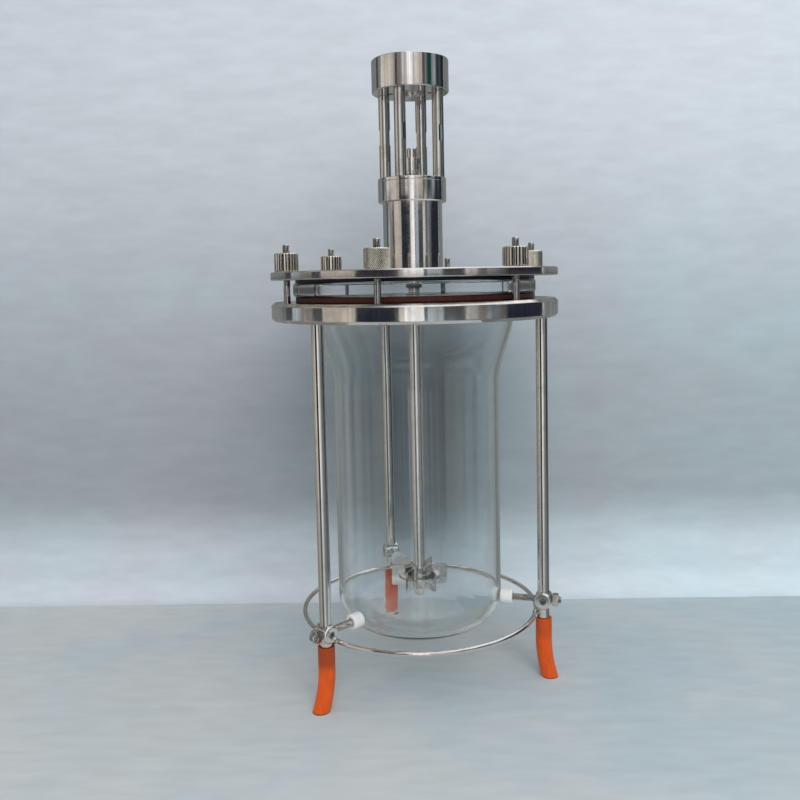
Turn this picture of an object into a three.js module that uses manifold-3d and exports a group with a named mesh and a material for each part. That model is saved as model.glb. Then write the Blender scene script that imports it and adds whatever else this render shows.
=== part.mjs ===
// A bench bioreactor. A flanged glass vessel is clamped between a round head plate and a support ring that
// stands on three legs. A bearing housing and a motor seat on four posts stand on the head plate, and a
// stirrer shaft with a disc turbine hangs down the middle.
//
// Millimetres, +Z up, floor at z = 0, vessel and stirrer on the Z axis.
// Azimuths are in degrees, anticlockwise seen from above. Azimuth 0 is the front, which faces -Y.

import * as THREE from 'three';
import { mergeVertices } from 'three/addons/utils/BufferGeometryUtils.js';
import Module from 'manifold-3d';

const wasm = await Module();
wasm.setup();

// Clearances
const pinFit = 0.3; // between a round pin and its hole, on the radius
const runningFit = 0.3; // between the turning shaft and what it runs in, on the radius
const endGap = 0.3; // between two ends that don't press on each other
const legFit = 0.3; // between a leg and what is clamped or brazed to it
const overcut = 1; // how far a cutting tool reaches past the face it cuts

// Vessel
const vesselHeight = 316.5; // lowest point to the top of the flange
const vesselGround = 31.7; // floor to the lowest point
const bodyRadius = 73; // outside
const neckFlare = 14; // how much wider the neck is than the body, on the radius
const flareHeight = 63;
const neckLength = 27.5; // top of the flange to the top of the flare
const glassWall = 3.5;
const knuckleRadius = 25;
const crownRadius = 120;
const flangeWidth = 19;
const flangeThickness = 12;
const flangeFillet = 4;
const flangeEdge = 2;

// Gaskets
const flangeGasketThickness = 4.5;
const headGasketThickness = 2.5;
const gasketInset = 2; // gasket edge inside the flange edge

// Head plate and support ring
const plateThickness = 7;
const plateChamfer = 0.8;
const plateEdge = 13; // stud circle to the plate's edge
const ringThickness = 16;
const ringChamfer = 2.5;
const ringClearance = 3; // ring bore to the neck of the vessel

// Studs and knurled nuts
const studRadius = 3;
const studClearance = 3; // glass flange to the nearest point of a stud
const studHoleFloor = 3; // ring left under each stud's hole
const studProud = 23; // above the head plate
const bareStudProud = 12.5; // the stud that carries no nut
const studChamfer = 0.7;
const studCount = 6;
const firstStudAzimuth = -14.2;
const bareStud = 3; // counted from 0 at the first stud
const bareStudShift = -3.5; // how far its hole sits off the even pitch, in degrees
const nutRadius = 10.25;
const nutHeight = 15.5;
const nutChamfer = 0.9;

// Legs, feet and hoop
const legRadius = 5;
const legAzimuths = [-44, 76, 196];
const legInset = 0.8; // leg circle inside the stud circle
const legSpigotRadius = 3.5;
const legSpigotLength = 11;
const legChamfer = 1;
const sleeveWall = 1.7;
const sleeveFit = 0.3; // leg to sleeve bore, on the radius
const sleeveHoopGap = 1; // top of the sleeve to the underside of the hoop
const sleeveBendTop = 33.7; // the leg ends here and the sleeve bends below it
const sleeveKicks = [7, 5, 5.5]; // how far each sleeve's foot leans outward
const sleeveRunOn = 0.3; // how far the tube runs on before it is cut, as a share of its lower bend
const hoopDrop = 14; // top of the vessel's knuckle to the hoop's middle
const hoopRodRadius = 2;

// Centring clamps, one on each leg
const clampRises = [8, 13, 16]; // above the hoop's middle
const clampScrewSides = [1, -1, 1]; // which end of the boss carries the grub screw
const clampWall = 2.2; // boss left beside the leg
const clampEndWall = 2.45; // boss left at each end, where the grub screw sits
const clampChamfer = 1.2;
const grubRadius = 2.5;
const grubSocketAcross = 2.5;
const grubSocketDepth = 1.4;
const centringScrewRadius = 3;
const centringScrewEnd = 8; // past the clamp's outer side
const centringGap = 0.3; // tip to vessel
const tipRadius = 6.5;
const tipLength = 11;
const tipFloor = 4; // solid end of the tip
const tipChamfer = 0.8;
const lockNutAcross = 10;
const lockNutThickness = 5;

// Bearing housing and its cover
const housingHeight = 76;
const housingRadius = 26;
const collarStep = 3.8; // collar wider than the body, on the radius
const collarHeight = 17.5;
const housingEdge = 0.6;
const spigotRadius = 17;
const spigotDepth = 4;
const bearingRadius = 13;
const bearingWidth = 8;
const shieldRecess = 0.5;
const spacerWall = 1.7;
const housingBoreGap = 2; // spacer to the housing's through bore
const coverThickness = 3;
const coverShaftGap = 1;
const shieldFrom = 0.3; // edges of a bearing's shield, as shares of the way from its bore to its rim
const shieldTo = 0.72;

// Lantern posts and motor seat
const postCount = 4;
const firstPostAzimuth = -111.5;
const postInset = 4.8; // post circle inside the collar's edge
const postRadius = 5;
const postLength = 73.5;
const postStudRadius = 3;
const postStudLength = 12;
const flatDepth = 0.75; // of each wrench flat
const flatRise = 30.7; // bottom of the wrench flats above the post's foot
const flatHeight = 13.6;
const flatAzimuths = [90, 46, 36, 90];
const seatHeadGap = 0.95; // screw head to the seat's wall
const seatHeight = 27.5;
const seatWall = 3.2;
const seatWebThickness = 7;
const seatBore = 13;
const seatEdge = 0.8;
const motorHoleRadius = 2.15;
const motorHoleCircle = 17;
const motorHoleAzimuths = [-92, 88];
const seatScrewRadius = 2.5;
const seatScrewLength = 16;
const seatScrewHoleDepth = 12;
const seatScrewHeadRadius = 4.25;
const seatScrewHeadHeight = 5;
const seatScrewSocketAcross = 4;
const seatScrewSocketDepth = 2.5;

// Stirrer
const shaftRadius = 5;
const shaftGround = 33.5; // vessel's lowest point to the shaft's lower end
const shaftChamfer = 0.8;
const journalStep = 0.5; // journal thinner than the shaft, on the radius
const hubRise = 4; // above the bearing cover
const hubWall = 2.2;
const hubHeight = 14;
const hubNeckWall = 1.4;
const hubNeckHeight = 2.6;
const journalProud = 8.5; // above the hub
const journalFlatDepth = 1;
const journalFlatAzimuth = -75;
const setScrewRadius = 2;
const setScrewProud = 0.2;
const hubScrewDrop = 3.4; // below the top of the hub
const hubScrewAzimuth = 70;
const sealWall = 1.8;
const sealDrop = 8.8; // below the head plate
const clipProud = 1.75; // beyond the shaft, on the radius
const clipThickness = 1.1;
const clipDrop = 3.7; // below the seal
const clipGrooveDepth = 0.7;
const clipMouth = 70; // opening of the clip, in degrees
const impellerRise = 18; // shaft's lower end to the middle of the disc
const impellerHubWall = 2.2;
const impellerHubAbove = 9;
const impellerHubBelow = 11;
const impellerRadius = 25;
const discInset = 6.3; // disc's edge inside the blade tips
const discThickness = 2;
const bladeCount = 6;
const bladeWidth = 12.5;
const bladeHeight = 18;
const bladeThickness = 1.5;
const firstBladeAzimuth = -27;
const impellerScrewRise = 5; // above the middle of the disc
const impellerScrewAzimuth = 3;

// Heights that follow from the sizes above
const crownCentre = vesselGround + crownRadius;
const knuckleReach = bodyRadius - knuckleRadius; // the knuckle's centre is this far from the axis
const knuckleDrop = Math.sqrt((crownRadius - knuckleRadius) ** 2 - knuckleReach ** 2);
const knuckleTop = crownCentre - knuckleDrop;
const flangeTop = vesselGround + vesselHeight;
const flareTop = flangeTop - neckLength;
const flareBottom = flareTop - flareHeight;
const flangeBottom = flangeTop - flangeThickness;
const ringTop = flangeBottom - flangeGasketThickness;
const ringBottom = ringTop - ringThickness;
const hoopMiddle = knuckleTop - hoopDrop;
const sleeveTop = hoopMiddle - hoopRodRadius - sleeveHoopGap;
const plateBottom = flangeTop + headGasketThickness;
const plateTop = plateBottom + plateThickness;
const spigotBottom = plateTop - spigotDepth;
const housingTop = plateTop + housingHeight;
const coverTop = housingTop + coverThickness;
const seatBottom = coverTop + postLength;
const seatWebTop = seatBottom + seatWebThickness;
const seatTop = seatBottom + seatHeight;
const hubBottom = coverTop + hubRise;
const hubTop = hubBottom + hubHeight;
const sealBottom = plateBottom - sealDrop;
const clipMiddle = sealBottom - clipDrop - clipThickness / 2;
const shaftBottom = vesselGround + shaftGround;
const discMiddle = shaftBottom + impellerRise;
const lowerBearingTop = spigotBottom + bearingWidth;
const upperBearingBottom = housingTop - endGap - bearingWidth;

// Radii that follow from the sizes above
const neckRadius = bodyRadius + neckFlare;
const flangeRadius = neckRadius + flangeWidth;
const gasketRadius = flangeRadius - gasketInset;
const ringBore = neckRadius + ringClearance;
const studCircle = flangeRadius + studClearance + studRadius;
const plateRadius = studCircle + plateEdge;
const legCircle = studCircle - legInset;
const sleeveBore = legRadius + sleeveFit;
const clampBore = legRadius + legFit;
const clampRadius = clampBore + clampWall;
const clampHalf = clampBore + clampEndWall;
const shaftHole = shaftRadius + runningFit;
const spacerRadius = shaftHole + spacerWall;
const sealRadius = shaftHole + sealWall;
const clipRadius = shaftRadius + clipProud;
const impellerHubRadius = shaftHole + impellerHubWall;
const discRadius = impellerRadius - discInset;
const journalRadius = shaftRadius - journalStep;
const journalHole = journalRadius + pinFit;
const hubRadius = journalHole + hubWall;
const hubNeckRadius = journalHole + hubNeckWall;
const collarRadius = housingRadius + collarStep;
const postCircle = collarRadius - postInset;
const seatInner = postCircle + seatScrewHeadRadius + seatHeadGap;
const seatRadius = seatInner + seatWall;

// Segments round a circle
const wideRound = 40;
const middleRound = 24;
const smallRound = 12;
const wireRound = 8;

const finishes = {
  steel: { color: 0xc9c6c0, roughness: 0.12, metalness: 1 },
  bearing: { color: 0xb4b4b6, roughness: 0.3, metalness: 1 },
  screw: { color: 0x8f8f92, roughness: 0.35, metalness: 1 },
  glass: { color: 0xdfeae8, roughness: 0.05, metalness: 0, transparent: true, opacity: 0.3 },
  silicone: { color: 0xc2532f, roughness: 0.45, metalness: 0 },
  rubber: { color: 0x1c1c1e, roughness: 0.6, metalness: 0 },
  ptfe: { color: 0xf2f2ee, roughness: 0.4, metalness: 0 },
};

// A solid turned about Z from [radius, height] points, going out along the bottom and back along the top.
function turned(profile, segments) {
  return turnedAboutY(profile, segments).rotateX(Math.PI / 2);
}

// The same about Y, for pieces whose axis is radial.
function turnedAboutY(profile, segments) {
  const points = profile.map(([radius, height]) => new THREE.Vector2(radius, height));
  return new THREE.LatheGeometry(points, segments);
}

function rod(radius, bottom, top, segments = smallRound) {
  return turned([[0, bottom], [radius, bottom], [radius, top], [0, top]], segments);
}

function tube(bore, radius, bottom, top, segments) {
  return turned([[bore, bottom], [radius, bottom], [radius, top], [bore, top], [bore, bottom]], segments);
}

// A hexagonal prism on Z, for a spanner or key of the given size.
function hexagon(across, bottom, top) {
  return rod(across / 2 / Math.cos(Math.PI / 6), bottom, top, 6);
}

// Points on a circular arc in a profile. Angles are in degrees from straight down, turning outward.
function arc(centreRadius, centreHeight, radius, from, to, steps) {
  return Array.from({ length: steps + 1 }, (_, step) => {
    const angle = THREE.MathUtils.degToRad(from + ((to - from) * step) / steps);
    return [centreRadius + radius * Math.sin(angle), centreHeight - radius * Math.cos(angle)];
  });
}

function solidOf(geometry) {
  const bare = geometry.clone();
  bare.deleteAttribute('normal');
  bare.deleteAttribute('uv');
  const merged = mergeVertices(bare, 1e-4);
  const vertProperties = Float32Array.from(merged.attributes.position.array);
  const triVerts = Uint32Array.from(merged.index.array);
  return new wasm.Manifold(new wasm.Mesh({ numProp: 3, vertProperties, triVerts }));
}

function geometryOf(solid) {
  const mesh = solid.getMesh();
  const geometry = new THREE.BufferGeometry();
  geometry.setAttribute('position', new THREE.BufferAttribute(mesh.vertProperties, 3));
  geometry.setIndex(new THREE.BufferAttribute(mesh.triVerts, 1));
  geometry.computeVertexNormals();
  return geometry;
}

function cut(body, tools) {
  return geometryOf(tools.reduce((solid, tool) => solid.subtract(solidOf(tool)), solidOf(body)));
}

function joined(bodies) {
  return geometryOf(bodies.map(solidOf).reduce((whole, next) => whole.add(next)));
}

function common(first, second) {
  return geometryOf(solidOf(first).intersect(solidOf(second)));
}

function piece(name, geometry, finish) {
  const mesh = new THREE.Mesh(geometry, new THREE.MeshStandardMaterial(finishes[finish]));
  mesh.name = name;
  return mesh;
}

// A point at a radius and azimuth round the Z axis.
function polar(radius, azimuth, height = 0) {
  const angle = THREE.MathUtils.degToRad(azimuth);
  return new THREE.Vector3(radius * Math.sin(angle), -radius * Math.cos(angle), height);
}

// A group whose -Y points outward at an azimuth.
function facing(azimuth) {
  const group = new THREE.Group();
  group.rotation.z = THREE.MathUtils.degToRad(azimuth);
  return group;
}

function evenly(count, first) {
  return Array.from({ length: count }, (_, index) => first + (index * 360) / count);
}

const studAzimuths = evenly(studCount, firstStudAzimuth);
studAzimuths[bareStud] += bareStudShift;
const postAzimuths = evenly(postCount, firstPostAzimuth);

// One wall of the vessel's body, moved inward by an inset: crown, knuckle and straight side.
function bodyWall(inset) {
  const tangent = THREE.MathUtils.radToDeg(Math.asin(knuckleReach / (crownRadius - knuckleRadius)));
  const crown = arc(0, crownCentre, crownRadius - inset, 0, tangent, 3);
  const knuckle = arc(knuckleReach, knuckleTop, knuckleRadius - inset, tangent, 90, 4);
  return [...crown, ...knuckle.slice(1), [bodyRadius - inset, flareBottom]];
}

// One wall of the flare and the neck.
function neckWall(inset, top) {
  const steps = 5;
  const flare = Array.from({ length: steps + 1 }, (_, step) => {
    const share = step / steps;
    const ease = share * share * (3 - 2 * share);
    return [bodyRadius - inset + neckFlare * ease, flareBottom + flareHeight * share];
  });
  return [...flare, [neckRadius - inset, top]];
}

function glassVessel() {
  return turned([...bodyWall(0), ...bodyWall(glassWall).reverse()], wideRound);
}

// The flared neck with its flange, fused to the top of the body.
function glassNeck() {
  const outer = neckWall(0, flangeBottom - flangeFillet);
  const fillet = arc(neckRadius + flangeFillet, flangeBottom - flangeFillet, flangeFillet, -90, -180, 2);
  const lowerEdge = arc(flangeRadius - flangeEdge, flangeBottom + flangeEdge, flangeEdge, 0, 90, 1);
  const upperEdge = arc(flangeRadius - flangeEdge, flangeTop - flangeEdge, flangeEdge, 90, 180, 1);
  const inner = neckWall(glassWall, flangeTop).reverse();
  const rim = [...fillet.slice(1), ...lowerEdge, ...upperEdge];
  return turned([...outer, ...rim, ...inner, outer[0]], wideRound);
}

function headPlate() {
  const disc = turned([
    [0, plateBottom],
    [plateRadius - plateChamfer, plateBottom],
    [plateRadius, plateBottom + plateChamfer],
    [plateRadius, plateTop - plateChamfer],
    [plateRadius - plateChamfer, plateTop],
    [0, plateTop],
  ], wideRound);
  const studHole = rod(studRadius + pinFit, plateBottom - overcut, plateTop + overcut);
  const studHoles = studAzimuths.map((azimuth) => studHole.clone().translate(...polar(studCircle, azimuth)));
  const sealHole = rod(sealRadius + pinFit, plateBottom - overcut, plateTop);
  const counterbore = rod(spigotRadius + pinFit, spigotBottom, plateTop + overcut, middleRound);
  return cut(disc, [...studHoles, sealHole, counterbore]);
}

function supportRing() {
  const boreChamfer = ringChamfer / 2;
  const body = turned([
    [ringBore, ringBottom + boreChamfer],
    [ringBore + boreChamfer, ringBottom],
    [plateRadius - ringChamfer, ringBottom],
    [plateRadius, ringBottom + ringChamfer],
    [plateRadius, ringTop - ringChamfer],
    [plateRadius - ringChamfer, ringTop],
    [ringBore + boreChamfer, ringTop],
    [ringBore, ringTop - boreChamfer],
    [ringBore, ringBottom + boreChamfer],
  ], wideRound);
  const studHole = rod(studRadius + pinFit, ringBottom + studHoleFloor, ringTop + overcut);
  const legHole = rod(legSpigotRadius + pinFit, ringBottom - overcut, ringBottom + legSpigotLength + endGap);
  return cut(body, [
    ...studAzimuths.map((azimuth) => studHole.clone().translate(...polar(studCircle, azimuth))),
    ...legAzimuths.map((azimuth) => legHole.clone().translate(...polar(legCircle, azimuth))),
  ]);
}

function headGasket() {
  return tube(neckRadius - glassWall + gasketInset, gasketRadius, flangeTop, plateBottom, wideRound);
}

function flangeGasket() {
  const bore = Math.max(ringBore, neckRadius + flangeFillet) + gasketInset / 2;
  return tube(bore, gasketRadius, ringTop, flangeBottom, wideRound);
}

function stud(proud) {
  const bottom = ringBottom + studHoleFloor + endGap;
  const top = plateTop + proud;
  return turned([
    [0, bottom],
    [studRadius, bottom],
    [studRadius, top - studChamfer],
    [studRadius - studChamfer, top],
    [0, top],
  ], smallRound);
}

function knurledNut() {
  const bore = studRadius + pinFit;
  const bottom = plateTop + endGap;
  const top = bottom + nutHeight;
  return turned([
    [bore, bottom],
    [nutRadius - nutChamfer, bottom],
    [nutRadius, bottom + nutChamfer],
    [nutRadius, top - nutChamfer],
    [nutRadius - nutChamfer, top],
    [bore + nutChamfer, top],
    [bore, top - nutChamfer],
    [bore, bottom],
  ], middleRound);
}

// One leg, with its spigot in the ring and a cross hole that lets the centring screw pass.
function leg(clampHeight) {
  const bar = turned([
    [0, sleeveBendTop],
    [legRadius - legChamfer, sleeveBendTop],
    [legRadius, sleeveBendTop + legChamfer],
    [legRadius, ringBottom],
    [legSpigotRadius, ringBottom],
    [legSpigotRadius, ringBottom + legSpigotLength],
    [0, ringBottom + legSpigotLength],
  ], smallRound);
  return cut(bar, [radialHole(centringScrewRadius + pinFit, 2 * legRadius, clampHeight)]);
}

// A round hole along Y through the middle of a leg or boss.
function radialHole(radius, length, height) {
  return new THREE.CylinderGeometry(radius, radius, length, smallRound).translate(0, 0, height);
}

// A piece of soft tube pushed up the leg. Its foot leans outward and is cut level with the floor.
function footSleeve(kick) {
  const section = new THREE.Shape().absarc(0, 0, sleeveBore + sleeveWall, 0, 2 * Math.PI, false);
  section.holes.push(new THREE.Path().absarc(0, 0, sleeveBore, 0, 2 * Math.PI, true));
  const bendStart = new THREE.Vector3(0, 0, sleeveBendTop);
  const toe = new THREE.Vector3(0, -kick, 0);
  const control = new THREE.Vector3(0, 0, sleeveBendTop / 2);
  const pastToe = toe.clone().lerp(control, -sleeveRunOn);
  const path = new THREE.CurvePath();
  path.add(new THREE.LineCurve3(new THREE.Vector3(0, 0, sleeveTop), bendStart));
  path.add(new THREE.QuadraticBezierCurve3(bendStart, control, toe));
  path.add(new THREE.LineCurve3(toe, pastToe));
  const run = new THREE.ExtrudeGeometry(section, { extrudePath: path, steps: 9, curveSegments: 6 });
  const span = 4 * (kick + sleeveBore + sleeveWall);
  const aboveFloor = new THREE.BoxGeometry(span, span, 2 * sleeveTop).translate(0, 0, sleeveTop);
  return common(run, aboveFloor);
}

function hoop() {
  const radius = legCircle - legRadius - legFit - hoopRodRadius;
  return new THREE.TorusGeometry(radius, hoopRodRadius, wireRound, wideRound);
}

// A round boss across the leg, bored for the leg, the centring screw and one grub screw.
function clampBody(side) {
  const boss = turned([
    [0, -clampHalf],
    [clampRadius - clampChamfer, -clampHalf],
    [clampRadius, clampChamfer - clampHalf],
    [clampRadius, clampHalf - clampChamfer],
    [clampRadius - clampChamfer, clampHalf],
    [0, clampHalf],
  ], smallRound).rotateY(Math.PI / 2);
  const legHole = rod(clampBore, -clampRadius - overcut, clampRadius + overcut);
  const screwHole = radialHole(centringScrewRadius + pinFit, 2 * (clampRadius + overcut), 0);
  const grubHole = rod(grubRadius + pinFit, 0, clampHalf + overcut).rotateY((side * Math.PI) / 2);
  return cut(boss, [legHole, screwHole, grubHole]);
}

function clampScrew(side) {
  const socket = hexagon(grubSocketAcross, clampHalf - grubSocketDepth, clampHalf + overcut);
  return cut(rod(grubRadius, clampBore, clampHalf), [socket]).rotateY((side * Math.PI) / 2);
}

// The next three lie along Y, with outward at -Y, so a radius becomes a negative height.
function centringTip() {
  const inner = -(bodyRadius + centringGap);
  const outer = inner - tipLength;
  const bore = centringScrewRadius + pinFit;
  return turnedAboutY([
    [0, inner - tipFloor],
    [bore, inner - tipFloor],
    [bore, outer],
    [tipRadius - tipChamfer, outer],
    [tipRadius, outer + tipChamfer],
    [tipRadius, inner - tipChamfer],
    [tipRadius - tipChamfer, inner],
    [0, inner],
  ], smallRound);
}

function centringScrew() {
  const inner = -(bodyRadius + centringGap + tipFloor + endGap);
  const outer = -(legCircle + clampRadius + centringScrewEnd);
  return turnedAboutY([
    [0, outer],
    [centringScrewRadius - studChamfer, outer],
    [centringScrewRadius, outer + studChamfer],
    [centringScrewRadius, inner],
    [0, inner],
  ], smallRound);
}

function centringNut() {
  const inner = -(legCircle + clampRadius + endGap);
  const corner = lockNutAcross / 2 / Math.cos(Math.PI / 6);
  const block = new THREE.CylinderGeometry(corner, corner, lockNutThickness, 6);
  const hole = radialHole(centringScrewRadius + pinFit, lockNutThickness + 2 * overcut, 0);
  return cut(block, [hole]).translate(0, inner - lockNutThickness / 2, 0);
}

function bearingHousing() {
  const pocket = bearingRadius + pinFit;
  const bore = spacerRadius + housingBoreGap;
  const collarBottom = housingTop - collarHeight;
  const body = turned([
    [bore, lowerBearingTop + endGap],
    [pocket, lowerBearingTop + endGap],
    [pocket, spigotBottom],
    [spigotRadius, spigotBottom],
    [spigotRadius, plateTop],
    [housingRadius - housingEdge, plateTop],
    [housingRadius, plateTop + housingEdge],
    [housingRadius, collarBottom],
    [collarRadius - housingEdge, collarBottom],
    [collarRadius, collarBottom + housingEdge],
    [collarRadius, housingTop],
    [pocket, housingTop],
    [pocket, upperBearingBottom],
    [bore, upperBearingBottom],
    [bore, lowerBearingTop + endGap],
  ], middleRound);
  const depth = postStudLength - coverThickness + endGap;
  const postHole = rod(postStudRadius + pinFit, housingTop - depth, housingTop + overcut);
  return cut(body, postAzimuths.map((azimuth) => postHole.clone().translate(...polar(postCircle, azimuth))));
}

function bearingCover() {
  const disc = tube(shaftRadius + coverShaftGap, collarRadius, housingTop, coverTop, middleRound);
  const postHole = rod(postStudRadius + pinFit, housingTop - overcut, coverTop + overcut);
  return cut(disc, postAzimuths.map((azimuth) => postHole.clone().translate(...polar(postCircle, azimuth))));
}

// A ball bearing as one solid, with its shields set back between the rings.
function ballBearing(bottom) {
  const top = bottom + bearingWidth;
  const shieldInner = THREE.MathUtils.lerp(shaftHole, bearingRadius, shieldFrom);
  const shieldOuter = THREE.MathUtils.lerp(shaftHole, bearingRadius, shieldTo);
  return turned([
    [shaftHole, bottom],
    [shieldInner, bottom],
    [shieldInner, bottom + shieldRecess],
    [shieldOuter, bottom + shieldRecess],
    [shieldOuter, bottom],
    [bearingRadius, bottom],
    [bearingRadius, top],
    [shieldOuter, top],
    [shieldOuter, top - shieldRecess],
    [shieldInner, top - shieldRecess],
    [shieldInner, top],
    [shaftHole, top],
    [shaftHole, bottom],
  ], smallRound);
}

function bearingSpacer() {
  return tube(shaftHole, spacerRadius, lowerBearingTop + endGap, upperBearingBottom - endGap, smallRound);
}

// A post, threaded at its foot, drilled at its head, with two wrench flats.
function lanternPost(azimuth, flatAzimuth) {
  const bar = turned([
    [0, coverTop - postStudLength],
    [postStudRadius, coverTop - postStudLength],
    [postStudRadius, coverTop],
    [postRadius, coverTop],
    [postRadius, seatBottom],
    [0, seatBottom],
  ], smallRound);
  const flatMiddle = coverTop + flatRise + flatHeight / 2;
  const flats = [-1, 1].map((side) => {
    const away = side * (2 * postRadius - flatDepth);
    const block = new THREE.BoxGeometry(2 * (postRadius + overcut), 2 * postRadius, flatHeight);
    return block.translate(0, away, flatMiddle).rotateZ(THREE.MathUtils.degToRad(flatAzimuth));
  });
  const hole = rod(seatScrewRadius + pinFit, seatBottom - seatScrewHoleDepth, seatBottom + overcut);
  return cut(bar, [...flats, hole]).translate(...polar(postCircle, azimuth));
}

function motorSeatRing() {
  const body = turned([
    [seatBore, seatBottom],
    [seatRadius - seatEdge, seatBottom],
    [seatRadius, seatBottom + seatEdge],
    [seatRadius, seatTop - seatEdge],
    [seatRadius - seatEdge, seatTop],
    [seatInner, seatTop],
    [seatInner, seatWebTop],
    [seatBore, seatWebTop],
    [seatBore, seatBottom],
  ], middleRound);
  const motorHole = rod(motorHoleRadius, seatBottom - overcut, seatWebTop + overcut);
  const screwHole = rod(seatScrewRadius + pinFit, seatBottom - overcut, seatWebTop + overcut);
  return cut(body, [
    ...motorHoleAzimuths.map((azimuth) => motorHole.clone().translate(...polar(motorHoleCircle, azimuth))),
    ...postAzimuths.map((azimuth) => screwHole.clone().translate(...polar(postCircle, azimuth))),
  ]);
}

function seatScrew() {
  const headTop = seatWebTop + seatScrewHeadHeight;
  const body = turned([
    [0, seatWebTop - seatScrewLength],
    [seatScrewRadius, seatWebTop - seatScrewLength],
    [seatScrewRadius, seatWebTop],
    [seatScrewHeadRadius, seatWebTop],
    [seatScrewHeadRadius, headTop],
    [0, headTop],
  ], smallRound);
  return cut(body, [hexagon(seatScrewSocketAcross, headTop - seatScrewSocketDepth, headTop + overcut)]);
}

// The shaft, with a groove for the clip and a thinner journal with a flat above the bearings.
function stirrerShaft() {
  const grooveRadius = shaftRadius - clipGrooveDepth;
  const grooveHalf = clipThickness / 2 + endGap;
  const top = hubTop + journalProud;
  const bar = turned([
    [0, shaftBottom],
    [shaftRadius - shaftChamfer, shaftBottom],
    [shaftRadius, shaftBottom + shaftChamfer],
    [shaftRadius, clipMiddle - grooveHalf],
    [grooveRadius, clipMiddle - grooveHalf],
    [grooveRadius, clipMiddle + grooveHalf],
    [shaftRadius, clipMiddle + grooveHalf],
    [shaftRadius, hubBottom - endGap],
    [journalRadius, hubBottom - endGap],
    [journalRadius, top - shaftChamfer],
    [journalRadius - shaftChamfer, top],
    [0, top],
  ], smallRound);
  const block = new THREE.BoxGeometry(2 * journalRadius, journalRadius, journalProud);
  const away = journalRadius - journalFlatDepth + journalRadius / 2;
  block.translate(0, -away, hubTop + journalProud / 2 + endGap);
  block.rotateZ(THREE.MathUtils.degToRad(journalFlatAzimuth));
  return cut(bar, [block]);
}

// A hole or screw that enters a round hub along -Y and is then turned to its azimuth.
function radialRod(radius, inner, outer, height, azimuth) {
  const bar = new THREE.CylinderGeometry(radius, radius, outer - inner, smallRound);
  return bar.translate(0, -(inner + outer) / 2, height).rotateZ(THREE.MathUtils.degToRad(azimuth));
}

function couplingHub() {
  const body = turned([
    [journalHole, hubBottom],
    [hubNeckRadius, hubBottom],
    [hubNeckRadius, hubBottom + hubNeckHeight],
    [hubRadius, hubBottom + hubNeckHeight],
    [hubRadius, hubTop],
    [journalHole, hubTop],
    [journalHole, hubBottom],
  ], middleRound);
  const height = hubTop - hubScrewDrop;
  return cut(body, [radialRod(setScrewRadius + pinFit, 0, hubRadius + overcut, height, hubScrewAzimuth)]);
}

function hubSetScrew() {
  const height = hubTop - hubScrewDrop;
  return radialRod(setScrewRadius, journalHole, hubRadius + setScrewProud, height, hubScrewAzimuth);
}

function shaftSeal() {
  return tube(shaftHole, sealRadius, sealBottom, spigotBottom - endGap, smallRound);
}

// An open spring clip in the shaft's groove.
function shaftClip() {
  const inner = shaftRadius - clipGrooveDepth + runningFit;
  const half = clipThickness / 2;
  const ring = tube(inner, clipRadius, clipMiddle - half, clipMiddle + half, middleRound);
  const mouthWidth = 2 * clipRadius * Math.sin(THREE.MathUtils.degToRad(clipMouth / 2));
  const mouthDepth = clipRadius + overcut;
  const mouth = new THREE.BoxGeometry(mouthWidth, mouthDepth, 2 * clipThickness);
  return cut(ring, [mouth.translate(0, mouthDepth / 2, clipMiddle)]);
}

// Hub, disc and blades are welded into one piece.
function impeller() {
  const hubFoot = discMiddle - impellerHubBelow;
  const hubHead = discMiddle + impellerHubAbove;
  const hub = rod(impellerHubRadius, hubFoot, hubHead, middleRound);
  const disc = rod(discRadius, discMiddle - discThickness / 2, discMiddle + discThickness / 2, middleRound);
  const blade = new THREE.BoxGeometry(bladeThickness, bladeWidth, bladeHeight);
  blade.translate(0, bladeWidth / 2 - impellerRadius, discMiddle);
  const blades = evenly(bladeCount, firstBladeAzimuth).map((azimuth) => {
    return blade.clone().rotateZ(THREE.MathUtils.degToRad(azimuth));
  });
  const bore = rod(shaftHole, hubFoot - overcut, hubHead + overcut);
  const height = discMiddle + impellerScrewRise;
  const reach = impellerHubRadius + overcut;
  const screwHole = radialRod(setScrewRadius + pinFit, 0, reach, height, impellerScrewAzimuth);
  return cut(joined([hub, disc, ...blades]), [bore, screwHole]);
}

function impellerSetScrew() {
  const height = discMiddle + impellerScrewRise;
  return radialRod(setScrewRadius, shaftHole, impellerHubRadius, height, impellerScrewAzimuth);
}

// The pieces on one leg: leg, foot, clamp and centring screw.
function legStation(index) {
  const number = index + 1;
  const clampHeight = hoopMiddle + clampRises[index];
  const side = clampScrewSides[index];
  const onLeg = new THREE.Group();
  onLeg.position.y = -legCircle;
  const body = piece(`clamp_body_${number}`, clampBody(side), 'steel');
  const grub = piece(`clamp_screw_${number}`, clampScrew(side), 'screw');
  body.position.z = clampHeight;
  grub.position.z = clampHeight;
  onLeg.add(piece(`leg_${number}`, leg(clampHeight), 'steel'));
  onLeg.add(piece(`foot_sleeve_${number}`, footSleeve(sleeveKicks[index]), 'silicone'));
  onLeg.add(body, grub);
  const centring = new THREE.Group();
  centring.position.z = clampHeight;
  centring.add(piece(`centring_screw_${number}`, centringScrew(), 'steel'));
  centring.add(piece(`centring_tip_${number}`, centringTip(), 'ptfe'));
  centring.add(piece(`centring_nut_${number}`, centringNut(), 'steel'));
  const station = facing(legAzimuths[index]);
  station.add(onLeg, centring);
  return station;
}

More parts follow.
